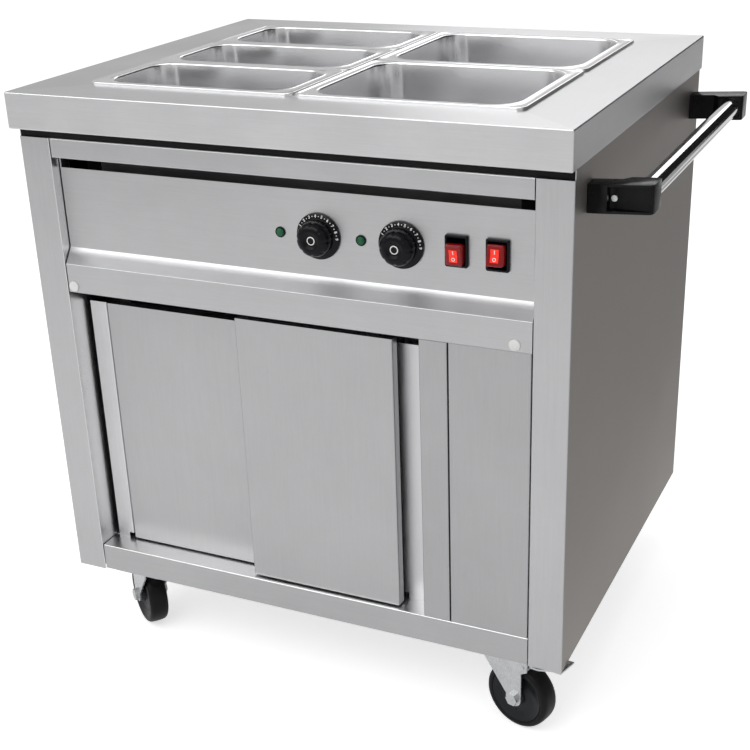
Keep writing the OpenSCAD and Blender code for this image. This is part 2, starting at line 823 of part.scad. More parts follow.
module power_inlet() {
  w = inlet_half_w;
  h = inlet_half_h;
  y0 = back_panel_y - inlet_d;
  y1 = back_panel_y + inlet_flange;
  color(black) placed() {
    difference() {
      union() {
        block([inlet_x - w, y0, inlet_z - h], [inlet_x + w, back_panel_y, inlet_z + h]);
        block([inlet_x - w - 5, back_panel_y, inlet_z - h - 5], [inlet_x + w + 5, y1, inlet_z + h + 5]);
      }
      block([inlet_x - w + 4, y0 + 8, inlet_z - h + 3], [inlet_x + w - 4, y1 + cut, inlet_z + h - 3]);
    }
    for (dx = [-7, 0, 7])
      block([inlet_x + dx - 1, y0 + 7, inlet_z - 3], [inlet_x + dx + 1, y1 - 6, inlet_z + 3]);
  }
}

module indicator_lamps() {
  r = lamp_d / 2;
  color([0.1, 0.75, 0.35]) placed() for (x = lamp_xs) {
    translate([x, panel_y, controls_z]) rotate([90, 0, 0]) rotate_extrude()
      polygon([[0, 0], [r, 0], [r, 1.5], [r - 1, 3], [r - 3, 4], [0, 4.5]]);
    rod_y([x, panel_y, controls_z], 26, r - 2);
  }
}

// The case of each switch: a bezel before the panel and an open pocket through it
module switch_bodies() {
  w = pocket_half_w;
  h = pocket_half_h;
  t = pocket_wall;
  pivot_y = panel_y + rocker_pivot;
  end = panel_y + pocket_d;
  color(black) placed() for (x = switch_xs) {
    difference() {
      union() {
        translate([x, panel_y, controls_z]) rotate([90, 0, 0]) linear_extrude(bezel_t)
          round_rect([switch_w, switch_h], 3);
        block([x - w - t, panel_y, controls_z - h - t], [x + w + t, end, controls_z + h + t]);
      }
      block([x - w, panel_y - bezel_t - cut, controls_z - h], [x + w, end - t, controls_z + h]);
      rod_x([x - w - 1.5, pivot_y, controls_z], 2 * w + 3, pivot_r + running_gap);
    }
    for (dz = [-10, 0, 10])
      block([x - 3, end - 1, controls_z + dz - 0.5], [x + 3, end + 9, controls_z + dz + 0.5]);
  }
}

// A rocker, which tips about a pin behind the panel's face
module rocker(x, tilt) {
  f = rocker_front + rocker_pivot;
  h = rocker_h / 2;
  w = rocker_w / 2;
  translate([x, panel_y + rocker_pivot, controls_z]) rotate([tilt, 0, 0]) {
    rotate([90, 0, 90]) translate([0, 0, -w]) linear_extrude(rocker_w)
      polygon([[-f + 2.5, 0], [-f, h], [-f + 10, h], [3, 6], [3, -6], [-f + 10, -h], [-f, -h]]);
    rod_x([-w - 1.2, 0, 0], 2 * w + 2.4, pivot_r);
  }
}

module rocker_left() {
  color(red) placed() rocker(switch_xs[0], rocker_tilt);
}

module rocker_right() {
  color(red) placed() rocker(switch_xs[1], -rocker_tilt);
}

// A dial: a numbered skirt, a grip with hollows round it and the thermostat's spindle
module dial(x) {
  skirt = dial_skirt_d / 2;
  grip = dial_grip_d / 2;
  tip = dial_reach - dial_back;
  hollow_r = 4;
  translate([x, panel_y - dial_back, controls_z]) rotate([90, 0, 0]) {
    difference() {
      rotate_extrude() polygon([[0, 0], [skirt, 0], [skirt, 1.2], [skirt - 1.5, 2.6],
        [grip, dial_skirt_t], [grip - 1.5, tip - 2], [grip - 3.5, tip], [grip - 6, tip],
        [grip - 8, tip - 2], [0, tip - 3]]);
      for (i = [0 : dial_hollows - 1]) rotate([0, 0, (i + 0.5) * 360 / dial_hollows])
        translate([grip + hollow_r - 2.2, 0, dial_skirt_t + 2]) cylinder(h = tip, r = hollow_r);
    }
    translate([0, 0, dial_back + 1 - spindle_l]) cylinder(h = spindle_l, r = spindle_d / 2);
  }
}

module dial_left() {
  color(black) placed() dial(dial_xs[0]);
}

module dial_right() {
  color(black) placed() dial(dial_xs[1]);
}

// ---------------------------------------------------------------- drain

module drain_pipe() {
  p = [drain_x, drain_y];
  h = valve_half;
  foot = valve_z - h - 28;
  color(dark_steel) placed() difference() {
    union() {
      upright([valve_z, well_z + sheet_t]) translate(p) circle(drain_r);
      rod_z([p[0], p[1], well_z - 5], 5, drain_r + 3);
      block([p[0] - h, p[1] - h, valve_z - h], [p[0] + h, p[1] + h, valve_z + h]);
      upright([foot, valve_z]) translate(p) circle(drain_r);
    }
    upright([valve_z + h - 3, well_z + sheet_t + cut]) translate(p) circle(drain_bore_r);
    upright([foot - cut, valve_z - h + 3]) translate(p) circle(drain_bore_r);
    rod_x([p[0], p[1], valve_z], h + cut, lever_r + running_gap);
  }
}

// A lever on a spindle: level when the drain is closed, hanging down when it is open
module drain_lever() {
  x = drain_x + valve_half + slide_gap;
  y = drain_y;
  color(red) placed() {
    rod_x([drain_x + 3, y, valve_z], x - drain_x + 1, lever_r);
    difference() {
      union() {
        rod_x([x, y, valve_z], 4, 9);
        block([x, y - lever_l, valve_z - 6], [x + 4, y, valve_z + 6]);
        rod_x([x, y - lever_l, valve_z], 4, 6);
      }
      rod_x([x - cut, y - lever_l, valve_z], 6, 2.5);
    }
  }
}

// ---------------------------------------------------------------- handle

fixing_ys = [handle_y[0] + bracket_t / 2, handle_y[1] - bracket_t / 2];
scoop_x = [body_x + bracket_foot, body_x + handle_reach - 6];
scoop_wall = 3.5;
scoop_d = bracket_t / 2;
cover_screw_x = scoop_x[0] + 7;

module handle_tube() {
  y = [handle_y[0] + socket_end, handle_y[1] - socket_end];
  color([0.8, 0.8, 0.82]) placed() difference() {
    rod_y([tube_x, y[0], tube_z], y[1] - y[0], tube_r);
    rod_y([tube_x, y[0] - cut, tube_z], y[1] - y[0] + 2 * cut, tube_r - 1.5);
  }
}

// A band of the front bracket's outline, half high above and below its rising middle line
module rising(half) {
  x = [body_x - cut, body_x + handle_reach + cut];
  z = [for (px = x) handle_z + bracket_slope * (px - body_x)];
  along_y([handle_y[0] - 2 * cut, handle_y[0] + socket_l + cut])
    polygon([[x[0], z[0] - half], [x[1], z[1] - half], [x[1], z[1] + half], [x[0], z[0] + half]]);
}

// The front bracket: a foot on the cabinet, an arm with a scooped face and a socket
module bracket() {
  x1 = body_x + handle_reach;
  y = handle_y[0];
  z = [handle_z - bracket_h, handle_z + bracket_h];
  wide_x = tube_x - tube_r - 10;
  r = 4;
  half = bracket_h / 2;
  difference() {
    intersection() {
      rising(half);
      upright(z) {
        polygon([[body_x, y + 2], [body_x + 6, y], [x1 - r, y], [x1, y + r], [x1, y + socket_l - r],
          [x1 - r, y + socket_l], [wide_x + r, y + socket_l], [wide_x, y + bracket_t],
          [body_x, y + bracket_t]]);
        for (p = [[x1 - r, y + r], [x1 - r, y + socket_l - r]]) translate(p) circle(r);
      }
    }
    intersection() {
      rising(half - scoop_wall);
      upright(z) polygon([[scoop_x[0], y - cut], [scoop_x[1], y - cut], [scoop_x[1], y + 2],
        [cover_screw_x + 5, y + scoop_d], [scoop_x[0], y + scoop_d]]);
    }
    rod_y([tube_x, y + socket_end, tube_z], socket_l, tube_r);
    rod_y([cover_screw_x, y + scoop_d - cut, handle_z], 9 + cut, screw_r);
    rod_x([body_x - cut, y + bracket_t / 2, handle_z], 16 + cut, screw_r);
  }
}

module handle_bracket_front() {
  color(black) placed() bracket();
}

// Turns the front end of the handle into its rear end
module at_rear_end() {
  translate([0, 2 * handle_mid_y, 0]) mirror([0, 1, 0]) children();
}

module handle_bracket_rear() {
  color(black) placed() at_rear_end() bracket();
}

// At each end a screw in the scoop, and one from inside the cabinet into the foot
module end_screws() {
  y = handle_y[0];
  head_x = body_x - sheet_t;
  rod_y([cover_screw_x, y + scoop_d, handle_z], 8, screw_r);
  rod_y([cover_screw_x, y + scoop_d - 2.5, handle_z], 2.5, 4);
  rod_x([head_x, fixing_ys[0], handle_z], 16, screw_r);
  rod_x([head_x - screw_head_h, fixing_ys[0], handle_z], screw_head_h, screw_head_r);
}

module handle_screws() {
  color(zinc) placed() {
    end_screws();
    at_rear_end() end_screws();
  }
}

// ---------------------------------------------------------------- doors

function hanger_xs(x, w) = [x + hanger_inset, x + w - hanger_inset];

// A door: a folded skin, a flat back, two ends and two hangers that reach into the track
module door(x, w, y, z) {
  t = door_sheet;
  x1 = x + w;
  back = y + door_t;
  color(steel) placed() {
    upright(z) folded([[x + 14, back], [x, back], [x, y], [x1, y], [x1, back], [x1 - 14, back]], t, 2);
    for (end = [z[0], z[1] - t]) block([x + t, y + t / 2, end], [x1 - t, back - t / 2, end + t]);
    for (hx = hanger_xs(x, w)) block([hx - hanger_l / 2, y + door_t / 2 - hanger_half, z[1] - t],
      [hx + hanger_l / 2, y + door_t / 2 + hanger_half, glide_z + glide_h]);
  }
}

// Nylon glides on a door's two hangers
module glides(x, w, y) {
  half = track_half - track_t - slide_gap;
  mid = y + door_t / 2;
  color(nylon) placed() for (hx = hanger_xs(x, w)) difference() {
    block([hx - glide_l / 2, mid - half, glide_z], [hx + glide_l / 2, mid + half, glide_z + glide_h]);
    block([hx - hanger_l / 2, mid - hanger_half, glide_z - cut],
      [hx + hanger_l / 2, mid + hanger_half, glide_z + glide_h + cut]);
  }
}

module front_door() {
  door(front_door_x, front_door_w, front_door_y, front_door_z);
}

module rear_door() {
  door(doors_l, rear_door_w, rear_door_y, rear_door_z);
}

module front_door_glides() {
  glides(front_door_x, front_door_w, front_door_y);
}

module rear_door_glides() {
  glides(doors_l, rear_door_w, rear_door_y);
}

// ---------------------------------------------------------------- pans

// The space inside a pan's wall, or outside it when grown by the sheet's thickness
module pan_hollow(size, grow, top) {
  steps = [[top, 0], [top - pan_depth * 0.8, 0.8], [top - pan_depth + 6, 1.6], [top - pan_depth, 3.2]];
  hull() for (s = steps) {
    lean = s[1] <= 1 ? pan_taper * s[1] : pan_taper + (s[1] - 0.8) * pan_floor_r * 0.25;
    w = size - [1, 1] * 2 * (lean - grow);
    r = pan_corner_r - lean / 2 + grow;
    translate([0, 0, s[0] - grow]) linear_extrude(0.01) hull()
      for (x = [-1, 1], y = [-1, 1])
        translate([x * (w[0] / 2 - r), y * (w[1] / 2 - r)]) circle(r, $fn = 40);
  }
}

// A pan whose cell reaches from y0 back over cell_d
module pan(x, y0, cell_d) {
  size = [pan_w, cell_d - row_gap];
  rim_z = top_z + pan_rim_h;
  hole = size - 2 * [pan_end_rim + pan_t, pan_rim + pan_t];
  translate([x, y0 + cell_d / 2, 0]) difference() {
    union() {
      upright([top_z, rim_z]) difference() {
        round_rect(size, rim_corner_r);
        round_rect(size - [2, 2] * pan_t, rim_corner_r - pan_t);
      }
      upright([rim_z - pan_t, rim_z]) round_rect(size, rim_corner_r);
      intersection() {
        pan_hollow(hole, pan_t, rim_z);
        upright([rim_z - pan_depth - pan_t, rim_z]) square(2 * size, center = true);
      }
    }
    translate([0, 0, pan_t]) pan_hollow(hole, 0, rim_z);
  }
}

module pan_left_front() {
  color(steel) placed() pan(-pan_mid_x, pan_front, third_d);
}

module pan_left_middle() {
  color(steel) placed() pan(-pan_mid_x, pan_front + third_d, third_d);
}

module pan_left_rear() {
  color(steel) placed() pan(-pan_mid_x, pan_front + 2 * third_d, third_d);
}

module pan_right_front() {
  color(steel) placed() pan(pan_mid_x, pan_front, half_d);
}

module pan_right_rear() {
  color(steel) placed() pan(pan_mid_x, pan_front + half_d, half_d);
}

// ---------------------------------------------------------------- castors

module each_castor() {
  for (c = CASTORS) translate([c[0], c[1], 0]) children();
}

// Puts a shape drawn in a castor's own frame, where the wheel trails along X, in its place
module in_castor(i) {
  translate([CASTORS[i][0], CASTORS[i][1], 0]) rotate([0, 0, CASTORS[i][2]]) children();
}

module castor_plates() {
  half = castor_plate / 2;
  low = castor_h - castor_plate_t;
  nut_z = crown_low - slide_gap;
  color(zinc) placed() each_castor() difference() {
    union() {
      upright([low, castor_h]) round_rect([castor_plate, castor_plate], 6);
      rod_z([0, 0, low - race_h], race_h, race_r);
      rod_z([0, 0, nut_z - 4], low - nut_z + 4, kingpin_r);
      translate([0, 0, nut_z - 4]) cylinder(h = 4, r = 9, $fn = 6);
    }
    for (x = [-1, 1], y = [-1, 1]) rod_z([x * bolt_spread, y * bolt_spread, low - cut],
      castor_plate_t + 2 * cut, bolt_r);
  }
}

module castor_bolts() {
  low = castor_h - castor_plate_t;
  nut_z = castor_h + 1.5;
  color(zinc) placed() each_castor() for (x = [-1, 1], y = [-1, 1])
    translate([x * bolt_spread, y * bolt_spread, 0]) {
      translate([0, 0, low - bolt_head_h]) cylinder(h = bolt_head_h, r = 7, $fn = 6);
      rod_z([0, 0, low], 16, bolt_r);
      translate([0, 0, nut_z]) cylinder(h = 6.5, r = 7, $fn = 6);
    }
}

// The fork turns on the kingpin and carries the axle bolt
module fork(i) {
  u = castor_trail;
  braked = i < 2;
  heel = braked ? pedal_u + 7 : u + 14;
  leg = [[-20, crown_z], [-20, crown_low - 8], [u - 13, wheel_r + 4], [u - 13, wheel_r],
    [u + 13, wheel_r], [u + 13, pedal_z - 12], [heel, pedal_z - 6], [heel, crown_z]];
  color(zinc) placed() in_castor(i) {
    difference() {
      union() {
        for (v = [-leg_out, leg_in]) along_y([v, v + leg_t]) {
          polygon(leg);
          translate([u, wheel_r]) circle(13);
        }
        block([-20, -leg_out, crown_low], [heel, leg_out, crown_z]);
        rod_z([0, 0, crown_low], crown_t, race_r);
      }
      rod_z([0, 0, crown_low - cut], crown_t + 2 * cut, kingpin_r + running_gap);
    }
    // Axle bolt with its head and nut, and the pedal's pin
    rod_y([u, -leg_out, wheel_r], 2 * leg_out, axle_r);
    for (v = [-leg_out - 6, leg_out]) translate([u, v, wheel_r]) rotate([-90, 0, 0])
      cylinder(h = 6, r = 10, $fn = 6);
    if (braked) rod_y([pedal_u, -leg_out - 1.5, pedal_z], 2 * leg_out + 3, pedal_pin_r);
  }
}

module wheel(i) {
  half = wheel_w / 2;
  hub = leg_in - slide_gap;
  tyre_in = wheel_r - 10;
  color(black) placed() in_castor(i) translate([castor_trail, 0, wheel_r]) rotate([90, 0, 0])
    rotate_extrude() polygon([[axle_r + running_gap, -hub], [14, -hub], [14, -half + 5],
      [tyre_in, -half + 5], [tyre_in, -half], [wheel_r - 3, -half], [wheel_r, -half + 4],
      [wheel_r, half - 4], [wheel_r - 3, half], [tyre_in, half], [tyre_in, half - 5],
      [14, half - 5], [14, hub], [axle_r + running_gap, hub]]);
}

// A brake pedal: pressed down, its cam meets the tyre
module pedal(i) {
  reach = norm([pedal_u - castor_trail, pedal_z - wheel_r]);
  // Its corners, not its end, pass nearest to the tyre
  cam = sqrt(pow(reach - wheel_r - slide_gap, 2) - pow(cam_half_t, 2));
  // The cam points from the pin to the axle when the pedal is pressed
  aim = atan2(wheel_r - pedal_z, castor_trail - pedal_u) + pedal_press;
  w = pedal_half_w;
  color(zinc) placed() in_castor(i) translate([pedal_u, 0, pedal_z]) difference() {
    union() {
      rod_y([0, -w, 0], 2 * w, 5);
      rotate([0, -aim, 0]) block([0, -w, -cam_half_t], [cam, w, cam_half_t]);
      along_y([-w, w]) polygon([[0, 0], [24, 3], [46, 11], [62, 13], [62, 15.5], [45, 13.5],
        [23, 5.6], [0, 5]]);
    }
    rod_y([0, -w - cut, 0], 2 * w + 2 * cut, pedal_pin_r + running_gap);
  }
}

module castor_fork_front_left() fork(0);
module castor_fork_front_right() fork(1);
module castor_fork_rear_left() fork(2);
module castor_fork_rear_right() fork(3);
module castor_wheel_front_left() wheel(0);
module castor_wheel_front_right() wheel(1);
module castor_wheel_rear_left() wheel(2);
module castor_wheel_rear_right() wheel(3);
module brake_pedal_left() pedal(0);
module brake_pedal_right() pedal(1);

worktop();
pan_support_bars();
water_well();
well_insulation();
well_element();
side_panel_left();
side_panel_right();
back_panel();
base_tray();
base_frame();
top_seal_strip();
control_fascia();
fascia_screw_caps();
door_post();
service_panel();
door_jambs();
door_tracks();
cupboard_liner();
cupboard_ceiling();
cupboard_shelf();
shelf_runners();
cupboard_element();
thermostat_bodies();
thermostat_bulbs();
terminal_block();
wiring_loom();
power_inlet();
indicator_lamps();
switch_bodies();
drain_pipe();
drain_lever();
handle_tube();
handle_bracket_front();
handle_bracket_rear();
handle_screws();
front_door();
rear_door();
front_door_glides();
rear_door_glides();
dial_left();
dial_right();
rocker_left();
rocker_right();
pan_left_front();
pan_left_middle();
pan_left_rear();
pan_right_front();
pan_right_rear();
castor_plates();
castor_bolts();
castor_fork_front_left();
castor_fork_front_right();
castor_fork_rear_left();
castor_fork_rear_right();
castor_wheel_front_left();
castor_wheel_front_right();
castor_wheel_rear_left();
castor_wheel_rear_right();
brake_pedal_left();
brake_pedal_right();
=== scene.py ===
"""Finishes of a stainless steel hostess trolley: brushed sheet, polished pans, dials, switches,
a push handle and castors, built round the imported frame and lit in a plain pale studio."""

import json
import math

import bmesh
import bpy
from bpy.props import FloatProperty, FloatVectorProperty, IntProperty, PointerProperty
from mathutils import Matrix, Vector


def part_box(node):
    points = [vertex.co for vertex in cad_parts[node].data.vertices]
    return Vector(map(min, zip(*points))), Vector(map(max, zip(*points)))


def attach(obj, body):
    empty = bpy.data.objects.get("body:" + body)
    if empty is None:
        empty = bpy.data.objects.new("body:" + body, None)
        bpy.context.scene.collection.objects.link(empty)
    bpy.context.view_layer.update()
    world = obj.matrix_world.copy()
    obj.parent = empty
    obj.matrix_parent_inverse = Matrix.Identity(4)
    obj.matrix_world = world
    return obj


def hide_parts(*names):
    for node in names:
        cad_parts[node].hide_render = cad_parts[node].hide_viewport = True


bl_info = {
    "name": "Hostess trolley",
    "version": (1, 0, 0),
    "blender": (4, 5, 0),
    "location": "3D View > Sidebar > Trolley",
    "description": "Builds the finishes and fine detail of a stainless steel hostess trolley",
    "category": "Object",
}

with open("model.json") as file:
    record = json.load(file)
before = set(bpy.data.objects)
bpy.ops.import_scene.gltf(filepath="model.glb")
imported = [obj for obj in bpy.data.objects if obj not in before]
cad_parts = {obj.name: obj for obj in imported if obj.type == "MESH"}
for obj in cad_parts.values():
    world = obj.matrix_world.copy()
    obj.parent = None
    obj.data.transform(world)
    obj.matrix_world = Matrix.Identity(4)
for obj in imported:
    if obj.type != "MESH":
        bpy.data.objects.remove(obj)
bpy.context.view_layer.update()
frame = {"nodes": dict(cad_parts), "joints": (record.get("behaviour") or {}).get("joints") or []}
CABINET = "cabinet"
MM = 0.001
SHARP = math.radians(32)
PANS = ["pan_left_front", "pan_left_middle", "pan_left_rear", "pan_right_front", "pan_right_rear"]
CORNERS = ["front_left", "front_right", "rear_left", "rear_right"]


# ------------------------------------------------------------------ sizes and colours


def length(label, description, metres):
    return FloatProperty(name=label, description=description, default=metres, min=0.0, unit="LENGTH")


def shade(label, description, colour):
    return FloatVectorProperty(name=label, description=description, default=colour, size=3, min=0.0,
                               max=1.0, subtype="COLOR")


def factor(label, description, value):
    return FloatProperty(name=label, description=description, default=value, min=0.0, max=1.0,
                         subtype="FACTOR")


class TrolleyFinish(bpy.types.PropertyGroup):
    """Colours and surface of the trolley's materials."""

    steel: shade("Sheet steel", "Colour of the brushed cabinet sheets", (0.565, 0.565, 0.575))
    top: shade("Worktop steel", "Colour of the worktop", (0.71, 0.71, 0.72))
    # The side panels' warm grey is darker than the sheet steel partly as painted shade
    side: shade("Side steel", "Colour of the warm grey side panels", (0.44, 0.414, 0.394))
    pan: shade("Pan steel", "Colour of the polished pans", (0.90, 0.90, 0.91))
    inner: shade("Inner steel", "Colour of the mill-finished inner pieces", (0.36, 0.36, 0.37))
    plastic: shade("Black plastic", "Colour of the switches' cases and the inlet", (0.010, 0.010, 0.012))
    red: shade("Red lens", "Colour of the rockers", (0.25, 0.002, 0.004))
    green: shade("Green lens", "Colour of the indicator lamps", (0.002, 0.1, 0.035))
    steel_roughness: factor("Steel roughness", "Roughness of the brushed sheets", 0.36)
    pan_roughness: factor("Pan roughness", "Roughness of the polished pans", 0.2)


class TrolleySizes(bpy.types.PropertyGroup):
    """Sizes of the detail that the frame doesn't hold."""

    edge_r: length("Worktop edge radius", "Radius of the worktop's folded edges", 2.4 * MM)
    pan_lip: length("Pan lip", "Height of the rounded lip inside a pan's rim", 1.2 * MM)
    pan_fillet: length("Pan floor radius", "Radius between a pan's wall and its floor", 22 * MM)
    dial_digit: length("Dial digit height", "Height of the numbers on a dial's skirt", 5.6 * MM)
    dial_hollows: IntProperty(name="Dial hollows", description="Hollows round a dial's grip", default=8,
                              min=4, max=24)


class TrolleyStudio(bpy.types.PropertyGroup):
    """Light and backdrop."""

    sky: factor("Sky", "Brightness of the surroundings on the trolley", 0.55)
    floor: factor("Floor", "Brightness of the floor", 0.80)
    floor_seen: factor("Floor seen", "Light added to the floor for the camera", 0.62)
    floor_mirrored: factor("Floor mirrored", "Light added to the floor in the steel", 0.2)


def finish():
    return bpy.context.scene.trolley_finish


def sizes():
    return bpy.context.scene.trolley_sizes


# ------------------------------------------------------------------ material tools


def new_material(name, colour, roughness, metallic=0.0):
    material = bpy.data.materials.new(name)
    material.use_nodes = True
    shader = material.node_tree.nodes["Principled BSDF"]
    shader.inputs["Base Color"].default_value = (*colour, 1.0)
    shader.inputs["Roughness"].default_value = roughness
    shader.inputs["Metallic"].default_value = metallic
    return material, material.node_tree, shader


def add_node(tree, kind, **inputs):
    node = tree.nodes.new(kind)
    for key, value in inputs.items():
        node.inputs[key.replace("_", " ")].default_value = value
    return node


def noise(tree, scale, stretch=(1, 1, 1), detail=4.0, rough=0.6):
    """Noise on Object coordinates. Its cells are 1 / scale metres wide and are pulled out by stretch."""
    place = tree.nodes.new("ShaderNodeTexCoord")
    turn = tree.nodes.new("ShaderNodeMapping")
    turn.inputs["Scale"].default_value = [scale / s for s in stretch]
    texture = add_node(tree, "ShaderNodeTexNoise", Scale=1.0, Detail=detail, Roughness=rough)
    tree.links.new(place.outputs["Object"], turn.inputs["Vector"])
    tree.links.new(turn.outputs["Vector"], texture.inputs["Vector"])
    return texture.outputs["Fac"]


def spread(tree, value, low, high, start=0.0, end=1.0):
    """Maps a value from start..end to low..high."""
    node = tree.nodes.new("ShaderNodeMapRange")
    for key, number in (("From Min", start), ("From Max", end), ("To Min", low), ("To Max", high)):
        node.inputs[key].default_value = number
    tree.links.new(value, node.inputs["Value"])
    return node.outputs["Result"]


def math_node(tree, operation, a, b):
    node = tree.nodes.new("ShaderNodeMath")
    node.operation = operation
    for socket, value in zip(node.inputs, (a, b)):
        if isinstance(value, (int, float)):
            socket.default_value = value
        else:
            tree.links.new(value, socket)
    return node.outputs["Value"]


def tint(tree, shader, colour, value, low, high):
    """Varies the base colour from low to high times itself as value goes from 0 to 1."""
    mix = tree.nodes.new("ShaderNodeMix")
    mix.data_type = "RGBA"
    mix.inputs[6].default_value = (*[min(1, c * low) for c in colour], 1)
    mix.inputs[7].default_value = (*[min(1, c * high) for c in colour], 1)
    tree.links.new(value, mix.inputs[0])
    tree.links.new(mix.outputs[2], shader.inputs["Base Color"])


def bump(tree, shader, height, strength, distance):
    node = add_node(tree, "ShaderNodeBump", Strength=strength, Distance=distance)
    tree.links.new(height, node.inputs["Height"])
    tree.links.new(node.outputs["Normal"], shader.inputs["Normal"])


def brushed(name, colour, roughness, grain, depth=0.35, cloud=0.12):
    """Brushed steel whose grain runs along an axis: fine streaks, soft clouds and a few scratches."""
    material, tree, shader = new_material(name, colour, roughness, 1.0)
    stretch = [1, 1, 1]
    stretch["XYZ".index(grain)] = 60
    fine = noise(tree, 2600, stretch, 3.0, 0.7)
    broad = noise(tree, 420, [s if s == 1 else 40 for s in stretch], 2.0, 0.5)
    clouds = noise(tree, 5.5, (1, 1, 1), 5.0, 0.62)
    streaks = math_node(tree, "ADD", math_node(tree, "MULTIPLY", fine, 0.6),
                        math_node(tree, "MULTIPLY", broad, 0.4))
    rub = math_node(tree, "ADD", math_node(tree, "MULTIPLY", streaks, 0.5),
                    math_node(tree, "MULTIPLY", clouds, 0.5))
    tint(tree, shader, colour, spread(tree, rub, 0, 1, 0.3, 0.7), 1 - cloud, 1 + cloud * 0.6)
    tree.links.new(spread(tree, rub, roughness - 0.07, roughness + 0.09, 0.3, 0.7),
                   shader.inputs["Roughness"])
    bump(tree, shader, streaks, depth, 0.00012)
    return material


def polished(name, colour, roughness):
    """Drawn and polished steel with faint water marks."""
    material, tree, shader = new_material(name, colour, roughness, 1.0)
    marks = noise(tree, 9, (1, 1, 3), 3.0, 0.5)
    swirl = noise(tree, 900, (1, 1, 12), 3.0, 0.6)
    tree.links.new(spread(tree, marks, roughness - 0.03, roughness + 0.06, 0.2, 0.8),
                   shader.inputs["Roughness"])
    tint(tree, shader, colour, spread(tree, marks, 0, 1, 0.2, 0.8), 0.95, 1.03)
    bump(tree, shader, swirl, 0.12, 0.0001)
    return material


def moulded(name, colour, roughness, grain_scale=1800, depth=0.2, specular=0.35):
    """Moulded plastic or rubber with a fine spark-eroded texture and faint rub marks."""
    material, tree, shader = new_material(name, colour, roughness)
    shader.inputs["Specular IOR Level"].default_value = specular
    grain = noise(tree, grain_scale, (1, 1, 1), 2.0, 0.6)
    rub = noise(tree, 60, (1, 1, 1), 5.0, 0.65)
    tree.links.new(spread(tree, rub, roughness - 0.08, roughness + 0.1, 0.3, 0.7),
                   shader.inputs["Roughness"])
    tint(tree, shader, colour, rub, 0.85, 1.2)
    bump(tree, shader, grain, depth, 0.00015)
    return material


def lens(name, colour, roughness, glow=0.0, cells=0):
    """Clear coloured plastic, with prisms on its inside where cells is set."""
    material, tree, shader = new_material(name, colour, roughness)
    shader.inputs["Specular IOR Level"].default_value = 0.3
    shader.inputs["Coat Weight"].default_value = 0.15
    shader.inputs["Coat Roughness"].default_value = 0.06
    if glow:
        shader.inputs["Emission Color"].default_value = (*colour, 1)
        shader.inputs["Emission Strength"].default_value = glow
    depth = noise(tree, 160, (1, 1, 1), 2.0, 0.5)
    tint(tree, shader, colour, depth, 0.8, 1.25)
    if cells:
        place = tree.nodes.new("ShaderNodeTexCoord")
        prisms = add_node(tree, "ShaderNodeTexVoronoi", Scale=float(cells), Randomness=0.2)
        tree.links.new(place.outputs["Object"], prisms.inputs["Vector"])
        bump(tree, shader, prisms.outputs["Distance"], 0.6, 0.001)
    return material


def zinc(name, colour, roughness):
    """Bright zinc plate: crystalline patches and a little handling wear."""
    material, tree, shader = new_material(name, colour, roughness, 1.0)
    place = tree.nodes.new("ShaderNodeTexCoord")
    flakes = add_node(tree, "ShaderNodeTexVoronoi", Scale=420.0)
    tree.links.new(place.outputs["Object"], flakes.inputs["Vector"])
    patch = tree.nodes.new("ShaderNodeSeparateColor")
    tree.links.new(flakes.outputs["Color"], patch.inputs["Color"])
    tree.links.new(spread(tree, patch.outputs[0], roughness - 0.06, roughness + 0.1),
                   shader.inputs["Roughness"])
    wear = noise(tree, 70, (1, 1, 1), 5.0, 0.6)
    tint(tree, shader, colour, wear, 0.75, 1.12)
    bump(tree, shader, wear, 0.25, 0.0004)
    return material


_made = {}


